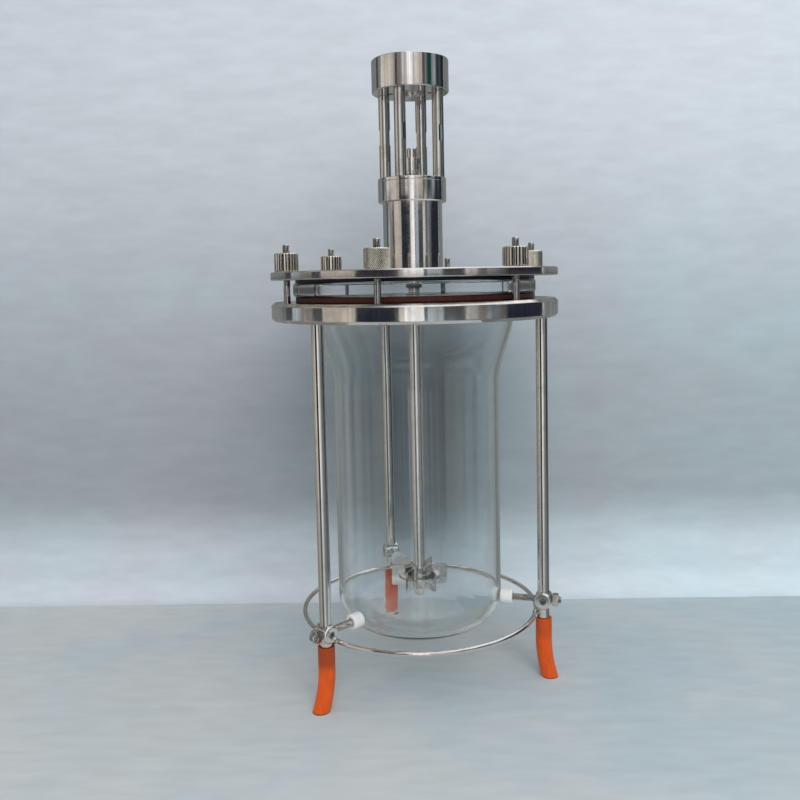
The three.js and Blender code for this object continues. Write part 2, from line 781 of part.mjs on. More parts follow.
// The studs with their nuts. One stud carries none.
function studSet() {
  const set = new THREE.Group();
  let nuts = 0;
  studAzimuths.forEach((azimuth, index) => {
    const place = polar(studCircle, azimuth);
    const bare = index === bareStud;
    const bolt = piece(`stud_${index + 1}`, stud(bare ? bareStudProud : studProud), 'steel');
    bolt.position.copy(place);
    set.add(bolt);
    if (!bare) {
      nuts += 1;
      const nut = piece(`knurled_nut_${nuts}`, knurledNut(), 'steel');
      nut.position.copy(place);
      set.add(nut);
    }
  });
  return set;
}

function stand() {
  const group = new THREE.Group();
  group.add(piece('support_ring', supportRing(), 'steel'));
  const ring = piece('hoop', hoop(), 'steel');
  ring.position.z = hoopMiddle;
  group.add(ring);
  legAzimuths.forEach((_, index) => group.add(legStation(index)));
  return group;
}

function vessel() {
  const group = new THREE.Group();
  group.add(piece('glass_vessel', glassVessel(), 'glass'));
  group.add(piece('glass_neck', glassNeck(), 'glass'));
  group.add(piece('flange_gasket', flangeGasket(), 'silicone'));
  group.add(piece('head_gasket', headGasket(), 'rubber'));
  group.add(piece('head_plate', headPlate(), 'steel'));
  group.add(studSet());
  return group;
}

function lantern() {
  const group = new THREE.Group();
  group.add(piece('bearing_housing', bearingHousing(), 'steel'));
  group.add(piece('bearing_cover', bearingCover(), 'steel'));
  group.add(piece('lower_bearing', ballBearing(spigotBottom), 'bearing'));
  group.add(piece('upper_bearing', ballBearing(upperBearingBottom), 'bearing'));
  postAzimuths.forEach((azimuth, index) => {
    const number = index + 1;
    group.add(piece(`lantern_post_${number}`, lanternPost(azimuth, flatAzimuths[index]), 'steel'));
    const screw = piece(`seat_screw_${number}`, seatScrew(), 'screw');
    screw.position.copy(polar(postCircle, azimuth));
    group.add(screw);
  });
  group.add(piece('motor_seat_ring', motorSeatRing(), 'steel'));
  group.add(piece('shaft_seal', shaftSeal(), 'rubber'));
  return group;
}

function stirrer() {
  const group = new THREE.Group();
  group.add(piece('stirrer_shaft', stirrerShaft(), 'steel'));
  group.add(piece('bearing_spacer', bearingSpacer(), 'steel'));
  group.add(piece('coupling_hub', couplingHub(), 'steel'));
  group.add(piece('hub_set_screw', hubSetScrew(), 'screw'));
  group.add(piece('shaft_clip', shaftClip(), 'screw'));
  group.add(piece('impeller', impeller(), 'steel'));
  group.add(piece('impeller_set_screw', impellerSetScrew(), 'screw'));
  return group;
}

const bioreactor = new THREE.Group();
bioreactor.add(stand(), vessel(), lantern(), stirrer());

export default bioreactor;
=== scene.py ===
"""Looks of a bench bioreactor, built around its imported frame.

Sizes in the classes are millimetres. Azimuths are degrees, anticlockwise seen from above, and azimuth 0
is the front, which faces -Y. Heights and places come from the frame.
"""

import logging
import math
from dataclasses import dataclass
from enum import Enum
from typing import Any, Callable, Optional, Sequence, Union

import bmesh
import bpy
from mathutils import Matrix, Vector


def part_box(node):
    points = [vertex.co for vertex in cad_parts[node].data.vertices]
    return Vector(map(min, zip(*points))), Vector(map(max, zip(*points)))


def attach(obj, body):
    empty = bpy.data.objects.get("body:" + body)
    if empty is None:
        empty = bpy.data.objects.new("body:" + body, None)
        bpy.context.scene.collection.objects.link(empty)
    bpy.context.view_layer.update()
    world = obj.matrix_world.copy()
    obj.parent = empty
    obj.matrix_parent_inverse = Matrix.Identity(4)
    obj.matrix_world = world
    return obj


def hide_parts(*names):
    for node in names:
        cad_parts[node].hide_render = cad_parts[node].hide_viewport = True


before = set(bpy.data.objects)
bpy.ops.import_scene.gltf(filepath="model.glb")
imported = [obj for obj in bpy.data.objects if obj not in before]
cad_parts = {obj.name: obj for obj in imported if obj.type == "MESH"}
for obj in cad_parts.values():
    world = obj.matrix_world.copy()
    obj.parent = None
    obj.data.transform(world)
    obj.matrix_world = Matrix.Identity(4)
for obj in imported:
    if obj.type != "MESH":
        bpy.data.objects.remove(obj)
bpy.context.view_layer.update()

LOG = logging.getLogger("bench_bioreactor")
MM = 0.001
OVERCUT = 1.0
SHARP_ANGLE = math.radians(34)
SUNK = "sunk"

Outline = list[tuple[float, float]]
Skin = Callable[[float, float], float]
Colour = tuple[float, float, float]
Value = Union[float, Colour, bpy.types.NodeSocket]


# Shader graphs


class Graph:
    """Adds nodes to one shader tree and wires them."""

    def __init__(self, tree: bpy.types.NodeTree) -> None:
        """Start from an empty tree."""
        tree.nodes.clear()
        self.tree = tree

    def feed(self, socket: bpy.types.NodeSocket, value: Value) -> None:
        """Wire a socket, or set its own value.

        Args:
            socket: The input to fill.
            value: An output socket, a number or a colour.
        """
        if isinstance(value, bpy.types.NodeSocket):
            self.tree.links.new(value, socket)
        elif socket.type == "RGBA":
            socket.default_value = (*value, 1.0)
        else:
            socket.default_value = value

    def add(self, kind: str, inputs: Optional[dict[Any, Value]] = None, **settings: Any) -> bpy.types.Node:
        """Add one node.

        Args:
            kind: The node's type without its ShaderNode prefix.
            inputs: Values by input name or number.
            settings: Properties of the node itself.

        Returns:
            The new node.
        """
        node = self.tree.nodes.new("ShaderNode" + kind)
        for key, value in settings.items():
            setattr(node, key, value)
        for key, value in (inputs or {}).items():
            self.feed(node.inputs[key], value)
        return node

    def sum(self, operation: str, *values: Value) -> bpy.types.NodeSocket:
        """One Math node.

        Args:
            operation: The Math node's operation.
            values: Its operands.

        Returns:
            Its result.
        """
        return self.add("Math", dict(enumerate(values)), operation=operation).outputs[0]

    def spread(self, value: Value, low: float, high: float, start: float = 0.0, end: float = 1.0,
               smooth: bool = False) -> bpy.types.NodeSocket:
        """Carry a value from one range to another.

        Args:
            value: What to carry.
            low: Result at the start of the range.
            high: Result at its end.
            start: Start of the range that is read.
            end: End of that range.
            smooth: Whether the change eases in and out.

        Returns:
            The carried value.
        """
        shape = "SMOOTHSTEP" if smooth else "LINEAR"
        sockets = {0: value, 1: start, 2: end, 3: low, 4: high}
        return self.add("MapRange", sockets, interpolation_type=shape).outputs[0]

    def mixed(self, share: Value, first: Value, second: Value) -> bpy.types.NodeSocket:
        """Mix two colours.

        Args:
            share: How much of the second colour.
            first: Colour at 0.
            second: Colour at 1.

        Returns:
            The mixed colour.
        """
        return self.add("Mix", {0: share, 6: first, 7: second}, data_type="RGBA").outputs[2]

    def ramp(self, value: Value, stops: Sequence[tuple[float, Colour]], shape: str) -> bpy.types.NodeSocket:
        """A row of colours along a value.

        Args:
            value: Where to read the row, from 0 to 1.
            stops: Where each colour starts, with the colour.
            shape: The ramp's interpolation.

        Returns:
            The colour there.
        """
        node = self.add("ValToRGB", {0: value})
        node.color_ramp.interpolation = shape
        elements = node.color_ramp.elements
        for index, (position, colour) in enumerate(stops):
            element = elements[index] if index < len(elements) else elements.new(position)
            element.position = position
            element.color = (*colour, 1.0)
        return node.outputs[0]

    def place(self) -> bpy.types.NodeSocket:
        """Position in the piece's own frame, in metres."""
        return self.add("TexCoord").outputs["Object"]

    def parts(self, vector: Value) -> bpy.types.Node:
        """Take a vector apart into X, Y and Z."""
        return self.add("SeparateXYZ", {0: vector})

    def lathe(self) -> bpy.types.NodeSocket:
        """Position as distance from the piece's axis and height along it, in metres."""
        parts = self.parts(self.place())
        radius = self.sum("SQRT", self.sum("ADD", self.sum("POWER", parts.outputs[0], 2.0),
                                           self.sum("POWER", parts.outputs[1], 2.0)))
        return self.add("CombineXYZ", {0: radius, 2: parts.outputs[2]}).outputs[0]

    def noise(self, vector: Value, grain: float, detail: float = 2.0) -> bpy.types.NodeSocket:
        """Soft noise.

        Args:
            vector: Where to read it.
            grain: Size of its patches in millimetres.
            detail: How many finer layers it has.

        Returns:
            A value around 0.5.
        """
        sockets = {"Vector": vector, "Scale": 1 / (grain * MM), "Detail": detail}
        return self.add("TexNoise", sockets).outputs[0]

    def bump(self, height: Value, depth: float,
             under: Optional[bpy.types.NodeSocket] = None) -> bpy.types.NodeSocket:
        """Turn a height into a surface normal.

        Args:
            height: Height from 0 to 1.
            depth: What 1 stands for, in millimetres.
            under: Normal that this one is laid on.

        Returns:
            The bumped normal.
        """
        sockets = {"Height": height, "Distance": depth * MM, "Strength": 1.0}
        if under is not None:
            sockets["Normal"] = under
        return self.add("Bump", sockets).outputs[0]

    def mirrored(self) -> bpy.types.NodeSocket:
        """1 for light that came off a mirror on its way, also where it passed glass after that."""
        return self.sum("GREATER_THAN", self.add("LightPath").outputs["Glossy Depth"], 0.5)

    def dulled(self, colour: Value, strength: Value) -> bpy.types.NodeSocket:
        """Multiply a colour by a strength."""
        sockets = {0: 1.0, 6: colour, 7: strength}
        return self.add("Mix", sockets, data_type="RGBA", blend_type="MULTIPLY").outputs[2]

    def skin(self, **values: Value) -> None:
        """Finish a material with one Principled shader; underscores in names stand for spaces."""
        shader = self.add("BsdfPrincipled", {key.replace("_", " "): value for key, value in values.items()})
        self.add("OutputMaterial", {"Surface": shader.outputs[0]})


# Finishes


@dataclass(frozen=True)
class Finish:
    """A finish that pieces share.

    Attributes:
        name: Name of its material.
        slot: Material slot in the part's record; not used by this script.
    """

    name: str
    slot: str

    def wire(self, graph: Graph) -> None:
        """Build the finish's nodes."""
        raise NotImplementedError

    def material(self) -> bpy.types.Material:
        """The finish's material, made the first time it is asked for."""
        title = f"{self.name}_finish"
        found = bpy.data.materials.get(title)
        if found is None:
            found = bpy.data.materials.new(title)
            found.use_nodes = True
            self.wire(Graph(found.node_tree))
        return found


@dataclass(frozen=True)
class Steel(Finish):
    """Turned or polished steel.

    Attributes:
        colour: Clean metal.
        stain: The same metal where it is dull.
        smooth: Lowest roughness.
        dull: Highest roughness.
        ripple: Height of the slow waves that polishing leaves.
        ripple_grain: Length of those waves.
        line: Depth of the turned lines.
        line_grain: Spacing of the turned lines.
        grime_and_shade: Colour at the bottom of its grooves, grime and painted shade together.
        groove: Depth below the crests at which a groove takes that grime and painted shade.
    """

    colour: Colour = (0.78, 0.765, 0.745)
    stain: Colour = (0.66, 0.64, 0.62)
    smooth: float = 0.05
    dull: float = 0.12
    ripple: float = 0.02
    ripple_grain: float = 9.0
    line: float = 0.0006
    line_grain: float = 0.35
    grime_and_shade: Colour = (0.05, 0.05, 0.052)
    groove: float = 0.0

    def wire(self, graph: Graph) -> None:
        """Smudged metal with slow waves under fine turned lines, with grime and painted shade in its grooves.
        """
        place = graph.place()
        lines = graph.noise(graph.lathe(), self.line_grain, 3.0)
        smudges = graph.noise(place, 14.0, 5.0)
        waves = graph.noise(place, self.ripple_grain, 1.0)
        colour = graph.mixed(graph.spread(smudges, 0.0, 0.8, 0.45, 0.75, True), self.colour, self.stain)
        if self.groove > 0:
            # Grooves darken with grime and painted shade, more the deeper they sink below the crests.
            sunk = graph.add("Attribute", attribute_name=SUNK).outputs["Fac"]
            dark = graph.spread(sunk, 0.0, 0.95, self.groove * 0.5, self.groove)
            colour = graph.mixed(dark, colour, self.grime_and_shade)
        worn = graph.spread(smudges, self.smooth, self.dull, 0.35, 0.7)
        drawn = graph.spread(lines, 0.0, self.smooth, 0.4, 0.8)
        rolled = graph.bump(waves, self.ripple)
        graph.skin(Base_Color=colour, Metallic=1.0, Roughness=graph.sum("ADD", worn, drawn),
                   Normal=graph.bump(lines, self.line, rolled))


@dataclass(frozen=True)
class Glass(Finish):
    """Blown and pressed glass, nearly clear.

    Attributes:
        tint: Colour that one wall gives to what is behind it.
        shade: Colour that one face gives to the lamp's light.
        index: Index of refraction.
        wave: Height of the slow waves in its surface.
    """

    tint: Colour = (0.93, 0.955, 0.96)
    shade: Colour = (0.96, 0.97, 0.975)
    index: float = 1.47
    wave: float = 0.012

    def wire(self, graph: Graph) -> None:
        """Clear glass with slow waves and a trace of smears, which lets the lamp's light through."""
        place = graph.place()
        smears = graph.noise(place, 26.0, 5.0)
        waves = graph.noise(place, 22.0, 1.0)
        gloss = graph.spread(smears, 0.0, 0.02, 0.5, 0.8)
        sockets = {"Base Color": self.tint, "Roughness": gloss, "IOR": self.index,
                   "Transmission Weight": 1.0, "Normal": graph.bump(waves, self.wave)}
        solid = graph.add("BsdfPrincipled", sockets).outputs[0]
        clear = graph.add("BsdfTransparent", {"Color": self.shade}).outputs[0]
        shadow = graph.add("LightPath").outputs["Is Shadow Ray"]
        shader = graph.add("MixShader", {0: shadow, 1: solid, 2: clear}).outputs[0]
        graph.add("OutputMaterial", {"Surface": shader})


@dataclass(frozen=True)
class Silicone(Finish):
    """Coloured silicone, extruded or cut from sheet.

    Attributes:
        colour: Clean colour.
        shade: Colour of its darker streaks.
        leg_shade: Painted shade where the dark leg fills the tube.
        leg_shade_above: Height above which the leg fills the tube and the painted shade starts, if it does.
        leg_shade_share: How far that painted shade shows.
        gloss: Lowest roughness.
        patch: Size of its clouds.
        contact_shadow: Painted contact shadow at the edge that stands on the bench.
    """

    colour: Colour = (0.84, 0.115, 0.006)
    shade: Colour = (0.64, 0.075, 0.007)
    leg_shade: Colour = (0.36, 0.052, 0.012)
    leg_shade_above: Optional[float] = None
    leg_shade_share: float = 0.9
    gloss: float = 0.3
    patch: float = 9.0
    contact_shadow: Colour = (0.030, 0.018, 0.012)

    def wire(self, graph: Graph) -> None:
        """Satin silicone with faint streaks, dust and an uneven face; on tubes, painted shade where the leg
        fills them and a painted contact shadow at the foot.
        """
        place = graph.place()
        stretched = graph.add("Mapping", {"Vector": place, "Scale": (1.0, 1.0, 0.15)}).outputs[0]
        streaks = graph.noise(stretched, 1.6, 3.0)
        clouds = graph.noise(place, self.patch, 3.0)
        colour = graph.mixed(graph.spread(streaks, 0.0, 0.7, 0.4, 0.75), self.colour, self.shade)
        colour = graph.mixed(graph.spread(clouds, 0.0, 0.5, 0.4, 0.8), colour, self.shade)
        if self.leg_shade_above is not None:
            # Painted shade above the height where the dark leg fills the tube.
            height = graph.parts(place).outputs[2]
            edge = self.leg_shade_above * MM
            share = graph.spread(height, 0.0, self.leg_shade_share, edge - 0.003, edge + 0.007, True)
            colour = graph.mixed(share, colour, self.leg_shade)
            # Painted contact shadow along the edge that stands on the bench.
            colour = graph.mixed(graph.spread(height, 0.9, 0.0, 0.0003, 0.0012), colour, self.contact_shadow)
        face = graph.bump(graph.noise(place, 0.7, 4.0), 0.03, graph.bump(clouds, 0.25))
        graph.skin(Base_Color=colour, Roughness=graph.spread(clouds, self.gloss, self.gloss + 0.2, 0.3, 0.7),
                   Normal=face, Subsurface_Weight=0.12, Subsurface_Scale=0.0015, IOR=1.41)


@dataclass(frozen=True)
class Rubber(Finish):
    """Black rubber with a dusty bloom.

    Attributes:
        colour: Clean colour.
        bloom: Colour of the dusty patches.
        gloss: Lowest roughness.
    """

    colour: Colour = (0.004, 0.008, 0.017)
    bloom: Colour = (0.016, 0.020, 0.028)
    gloss: float = 0.28

    def wire(self, graph: Graph) -> None:
        """Dark rubber with patches of bloom and a fine grain."""
        place = graph.place()
        patches = graph.noise(place, 5.0, 4.0)
        grain = graph.noise(place, 0.35, 3.0)
        colour = graph.mixed(graph.spread(patches, 0.0, 0.6, 0.5, 0.8), self.colour, self.bloom)
        worn = graph.spread(patches, self.gloss, self.gloss + 0.25, 0.35, 0.7)
        graph.skin(Base_Color=colour, Roughness=worn, Normal=graph.bump(grain, 0.02), Specular_IOR_Level=0.3)


@dataclass(frozen=True)
class Ptfe(Finish):
    """White PTFE turned from bar.

    Attributes:
        colour: Clean colour.
        shade: Colour in the tool marks.
    """

    colour: Colour = (0.93, 0.925, 0.91)
    shade: Colour = (0.80, 0.79, 0.77)

    def wire(self, graph: Graph) -> None:
        """Waxy white with tool rings."""
        rings = graph.noise(graph.lathe(), 0.5, 2.0)
        clouds = graph.noise(graph.place(), 4.0, 3.0)
        colour = graph.mixed(graph.spread(rings, 0.0, 0.5, 0.45, 0.8), self.colour, self.shade)
        graph.skin(Base_Color=colour, Roughness=graph.spread(clouds, 0.32, 0.5, 0.3, 0.7),
                   Normal=graph.bump(rings, 0.02), Subsurface_Weight=0.25, Subsurface_Scale=0.002)


MIRROR = Steel("mirror_steel", "polished_steel")
BAR = Steel("polished_bar", "polished_steel", ripple=0.012, ripple_grain=12.0)
POST = Steel("drawn_bar", "polished_steel", (0.64, 0.63, 0.615), (0.45, 0.43, 0.42),
             ripple=0.012, ripple_grain=12.0)
WELDED = Steel("brushed_weldment", "polished_steel", (0.74, 0.73, 0.715), (0.38, 0.36, 0.35),
               0.05, 0.13, ripple=0.06,
               ripple_grain=5.0)
THREADED = Steel("threaded_steel", "screw_steel", (0.66, 0.65, 0.64), (0.30, 0.29, 0.29),
                 0.08, 0.18, groove=0.45)
NUT = Steel("hexagon_steel", "screw_steel", (0.72, 0.71, 0.69), (0.40, 0.39, 0.38), 0.08, 0.18)
KNURLED = Steel("knurled_nut_steel", "knurled_steel", (0.90, 0.86, 0.76), (0.70, 0.66, 0.57),
                0.08, 0.18, line=0.0002, grime_and_shade=(0.02, 0.02, 0.019), groove=0.30)
FACED = Steel("faced_steel", "polished_steel", smooth=0.07, dull=0.16,
              ripple=0.012, line=0.0022, line_grain=0.6)
DARK = Steel("dark_screw_steel", "dark_screw", (0.36, 0.36, 0.37), (0.16, 0.16, 0.17), 0.16, 0.34,
             grime_and_shade=(0.02, 0.02, 0.022), groove=0.25)
BEARING = Steel("ground_bearing_steel", "bearing_steel", (0.62, 0.63, 0.65), (0.5, 0.51, 0.53), 0.12, 0.22)
CLEAR = Glass("clear_glass", "clear_glass")
TUBE = Silicone("orange_tube", "orange_silicone", leg_shade_above=33.7)
SOFT_TUBE = Silicone("pale_orange_tube", "orange_silicone", leg_shade_above=33.7, leg_shade_share=0.35)
SHEET = Silicone("red_sheet", "flange_silicone",
                 (0.11, 0.021, 0.012), (0.026, 0.010, 0.014), gloss=0.38, patch=60.0)
BLACK = Rubber("black_rubber", "black_rubber")
WHITE = Ptfe("turned_ptfe", "white_ptfe")


# Shapes


@dataclass(frozen=True)
class Thread:
    """Surface of a screw thread, as the radius allowed at each angle and height.

    Attributes:
        radius: Over the crests.
        pitch: Rise in one turn.
        depth: Crest to root.
        start: Height where the thread begins.
    """

    radius: float
    pitch: float = 1.0
    depth: float = 0.5
    start: float = -1e6

    def __call__(self, angle: float, height: float) -> float:
        """Radius of the thread there."""
        if height < self.start:
            return self.radius
        turn = (height / self.pitch - angle / math.tau) % 1
        return self.radius - self.depth * (1 - min(1.0, abs(2 * turn - 1) * 1.25))


@dataclass(frozen=True)
class Flutes:
    """Straight flutes along a knurled nut.

    Attributes:
        radius: Over the ridges.
        count: Number of flutes.
        depth: Ridge to groove.
    """

    radius: float
    count: int = 22
    depth: float = 0.8

    def __call__(self, angle: float, height: float) -> float:
        """Radius of the flutes there."""
        share = abs(2 * (angle * self.count / math.tau % 1) - 1)
        return self.radius - self.depth * max(0.0, 1 - share * 2.1)


@dataclass(frozen=True)
class Diamonds:
    """Crossed knurling.

    Attributes:
        radius: Over the points.
        count: Grooves round the nut, each way.
        rise: Height in which a groove passes to its neighbour's place.
        depth: Point to groove.
    """

    radius: float
    count: int = 38
    rise: float = 1.75
    depth: float = 0.42

    def __call__(self, angle: float, height: float) -> float:
        """Radius of the knurling there."""
        turn = angle * self.count / math.tau
        lean = height / self.rise
        deep = max(max(0.0, 1 - abs(2 * (way % 1) - 1) * 1.9) for way in (turn + lean, turn - lean))
        return self.radius - self.depth * deep


@dataclass(frozen=True)
class Hexagon:
    """Sides of a hexagon nut.

    Attributes:
        across: Over two flats.
    """

    across: float

    def __call__(self, angle: float, height: float) -> float:
        """Radius of the hexagon there."""
        off = (angle + math.pi / 6) % (math.pi / 3) - math.pi / 6
        return self.across / 2 / math.cos(off)


def linked(name: str, points: Sequence[Sequence[float]], faces: Sequence[Sequence[int]]) -> bpy.types.Object:
    """Make a mesh piece whose faces look outward.

    Args:
        name: Name of the piece.
        points: Its corners, in millimetres.
        faces: Its faces, as corner numbers.

    Returns:
        The piece, in the scene.
    """
    mesh = bpy.data.meshes.new(name)
    mesh.from_pydata([tuple(value * MM for value in point) for point in points], [], faces)
    shaper = bmesh.new()
    shaper.from_mesh(mesh)
    bmesh.ops.recalc_face_normals(shaper, faces=shaper.faces)
    shaper.to_mesh(mesh)
    shaper.free()
    piece = bpy.data.objects.new(name, mesh)
    bpy.context.scene.collection.objects.link(piece)
    return piece


def turned(name: str, outline: Outline, segments: int = 96, skin: Optional[Skin] = None) -> bpy.types.Object:
    """Turn an outline about the local Z axis.

    Args:
        name: Name of the piece.
        outline: Radius and height points. A first and last point off the axis are joined to each other.
        segments: Steps round the axis.
        skin: Largest radius at an angle and height.

    Returns:
        The turned piece.
    """
    points: list[tuple[float, float, float]] = []
    rings: list[list[int]] = []
    sunk: list[float] = []
    for radius, height in outline:
        if radius < 1e-6:
            rings.append([len(points)])
            points.append((0.0, 0.0, height))
            sunk.append(0.0)
            continue
        rings.append(list(range(len(points), len(points) + segments)))
        for step in range(segments):
            angle = math.tau * step / segments
            reach = min(radius, skin(angle, height)) if skin else radius
            sunk.append(radius - reach)
            points.append((reach * math.cos(angle), reach * math.sin(angle), height))
    pairs = list(zip(rings, rings[1:]))
    if len(rings[0]) > 1 and len(rings[-1]) > 1:
        pairs.append((rings[-1], rings[0]))
    faces: list[tuple[int, ...]] = []
    for low, high in pairs:
        for step in range(segments):
            after = (step + 1) % segments
            if len(low) == 1:
                faces.append((low[0], high[after], high[step]))
            elif len(high) == 1:
                faces.append((low[step], low[after], high[0]))
            else:
                faces.append((low[step], low[after], high[after], high[step]))
    piece = linked(name, points, faces)
    if skin:
        piece.data.attributes.new(SUNK, "FLOAT", "POINT").data.foreach_set("value", sunk)
    return piece


def part_turned(name: str, outline: Outline, start: float, end: float, steps: int) -> bpy.types.Object:
    """Turn a closed outline part of the way round, with flat ends.

    Args:
        name: Name of the piece.
        outline: Radius and height points of the section.
        start: Azimuth of one end.
        end: Azimuth of the other end.
        steps: Steps between the ends.

    Returns:
        The turned piece.
    """
    count = len(outline)
    points = []
    for step in range(steps + 1):
        angle = math.radians(start + (end - start) * step / steps)
        points += [(radius * math.sin(angle), -radius * math.cos(angle), height)
                   for radius, height in outline]
    faces: list[Sequence[int]] = [range(count), range(steps * count, (steps + 1) * count)]
    for step in range(steps):
        for corner in range(count):
            after = (corner + 1) % count
            base, ahead = step * count, (step + 1) * count
            faces.append((base + corner, base + after, ahead + after, ahead + corner))
    return linked(name, points, [tuple(face) for face in faces])


def softened(outline: Outline, radius: float, steps: int = 3) -> Outline:
    """Round the corners of an outline.

    Args:
        outline: Radius and height points. Points on the axis stay.
        radius: How far from a corner its rounding starts.
        steps: Steps in each rounding.

    Returns:
        The rounded outline.
    """
    closed = outline[0][0] > 0 and outline[-1][0] > 0
    result: Outline = []
    for index, point in enumerate(outline):
        ends = index in (0, len(outline) - 1)
        if point[0] <= 0 or (ends and not closed):
            result.append(point)
            continue
        corner = Vector(point)
        before = Vector(outline[index - 1]) - corner
        after = Vector(outline[(index + 1) % len(outline)]) - corner
        reach = min(radius, before.length / 2.2, after.length / 2.2)
        first, last = corner + before.normalized() * reach, corner + after.normalized() * reach
        for step in range(steps + 1):
            share = step / steps
            bent = first.lerp(corner, share).lerp(corner.lerp(last, share), share)
            result.append((bent.x, bent.y))
    return result


def rows(radius: float, bottom: float, top: float, step: float) -> Outline:
    """Evenly spaced points up a straight side.

    Args:
        radius: Radius of the side.
        bottom: Height of the first point.
        top: Height of the last point.
        step: Spacing aimed at.

    Returns:
        The points.
    """
    count = max(1, round((top - bottom) / step))
    return [(radius, bottom + (top - bottom) * index / count) for index in range(count + 1)]


def arc(centre: tuple[float, float], radius: float, start: float, end: float, steps: int) -> Outline:
    """Points on a circular arc of an outline.

    Args:
        centre: Radius and height of its centre.
        radius: Radius of the arc.
        start: Angle of its first point, in degrees from straight down, turning outward.
        end: Angle of its last point.
        steps: Steps between them.

    Returns:
        The points.
    """
    angles = [math.radians(start + (end - start) * step / steps) for step in range(steps + 1)]
    return [(centre[0] + radius * math.sin(angle), centre[1] - radius * math.cos(angle)) for angle in angles]


def rod(radius: float, bottom: float, top: float, segments: int = 48) -> bpy.types.Object:
    """A plain rod to cut with."""
    return turned("cutter", [(0, bottom), (radius, bottom), (radius, top), (0, top)], segments)


def hexagon_key(across: float, bottom: float, top: float) -> bpy.types.Object:
    """A hexagonal bar to cut a socket with."""
    return rod(across / 2 / math.cos(math.pi / 6), bottom, top, 6)


def block(low: Sequence[float], high: Sequence[float], name: str = "cutter") -> bpy.types.Object:
    """A rectangular block.

    Args:
        low: Its lowest corner.
        high: Its highest corner.
        name: Name of the piece.

    Returns:
        The block.
    """
    points = [(x, y, z) for x in (low[0], high[0]) for y in (low[1], high[1]) for z in (low[2], high[2])]
    faces = [(0, 1, 3, 2), (4, 6, 7, 5), (0, 4, 5, 1), (2, 3, 7, 6), (0, 2, 6, 4), (1, 5, 7, 3)]
    return linked(name, points, faces)


def shift(x: float, y: float, z: float) -> Matrix:
    """A move, given in millimetres."""
    return Matrix.Translation(Vector((x, y, z)) * MM)


def turn(degrees: float, axis: str = "Z") -> Matrix:
    """A turn about an axis of the frame."""
    return Matrix.Rotation(math.radians(degrees), 4, axis)


def outward(azimuth: float, height: float) -> Matrix:
    """Place a piece turned about Z so that its Z runs outward at an azimuth and height."""
    return shift(0, 0, height) @ turn(azimuth) @ turn(90, "X")


def at_polar(radius: float, azimuth: float, height: float = 0.0) -> Matrix:
    """Place a piece upright at a radius and azimuth round the stirrer's axis."""
    return turn(azimuth) @ shift(0, -radius, height)


def placed(piece: bpy.types.Object, place: Matrix) -> bpy.types.Object:
    """Set a piece in its place."""
    piece.matrix_world = place
    return piece


class Joinery(Enum):
    """How one shape changes another."""

    CUT = "DIFFERENCE"
    WELD = "UNION"


def combined(piece: bpy.types.Object, tools: Sequence[bpy.types.Object], how: Joinery) -> bpy.types.Object:
    """Cut or weld shapes into a piece and remove them.

    Args:
        piece: The piece that is changed.
        tools: The shapes to cut or weld with.
        how: What is done with them.

    Returns:
        The changed piece.
    """
    for tool in tools:
        step = piece.modifiers.new("joinery", "BOOLEAN")
        step.operation = how.value
        step.solver = "EXACT"
        step.object = tool
        bpy.context.view_layer.update()
        shaped = bpy.data.meshes.new_from_object(piece.evaluated_get(bpy.context.evaluated_depsgraph_get()))
        piece.modifiers.remove(step)
        spare = piece.data
        piece.data = shaped
        bpy.data.meshes.remove(spare)
        bpy.data.objects.remove(tool)
    piece.data.name = piece.name
    return piece


def eased(piece: bpy.types.Object) -> bpy.types.Object:
    """Shade a piece smoothly between its sharp edges."""
    piece.data.shade_smooth()
    piece.data.set_sharp_from_angle(angle=SHARP_ANGLE)
    weights = piece.modifiers.new("flat_faces", "WEIGHTED_NORMAL")
    weights.keep_sharp = True
    return piece


def settle(piece: bpy.types.Object, body: str, finish: Finish, *nodes: str) -> bpy.types.Object:
    """Finish a piece and hang it on its body.

    Args:
        piece: The piece, in place.
        body: Body of the frame that it moves with.
        finish: Its finish.
        nodes: Solids of the frame that it stands for.

    Returns:
        The piece.
    """
    eased(piece)
    piece.data.materials.clear()
    piece.data.materials.append(finish.material())
    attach(piece, body)
    if nodes:
        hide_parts(*nodes)
    LOG.info("%s: %d faces, %s, on %s", piece.name, len(piece.data.polygons), finish.name, body)
    return piece


def dress(node: str, finish: Finish) -> None:
    """Give a solid of the frame its finish.

    Args:
        node: Name of the solid.
        finish: Its finish.
    """
    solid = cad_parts[node]
    solid.data.materials.clear()
    solid.data.materials.append(finish.material())
    LOG.info("%s: kept, %s", node, finish.name)


@dataclass(frozen=True)
class Span:
    """Where a solid of the frame is, in millimetres.

    Attributes:
        low: Its lowest corner.
        high: Its highest corner.
    """

    low: Vector
    high: Vector

    @classmethod
    def of(cls, node: str) -> "Span":
        """Span of a named solid."""
        low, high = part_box(node)
        return cls(low / MM, high / MM)

    @property
    def bottom(self) -> float:
        """Lowest height."""
        return self.low.z

    @property
    def top(self) -> float:
        """Highest height."""
        return self.high.z

    @property
    def middle(self) -> Vector:
        """Middle of the span."""
        return (self.low + self.high) / 2

    @property
    def azimuth(self) -> float:
        """Azimuth of the middle, in degrees."""
        return math.degrees(math.atan2(self.middle.x, -self.middle.y))

    @property
    def reach(self) -> float:
        """Distance of the middle from the stirrer's axis."""
        return math.hypot(self.middle.x, self.middle.y)


# Sub-assemblies


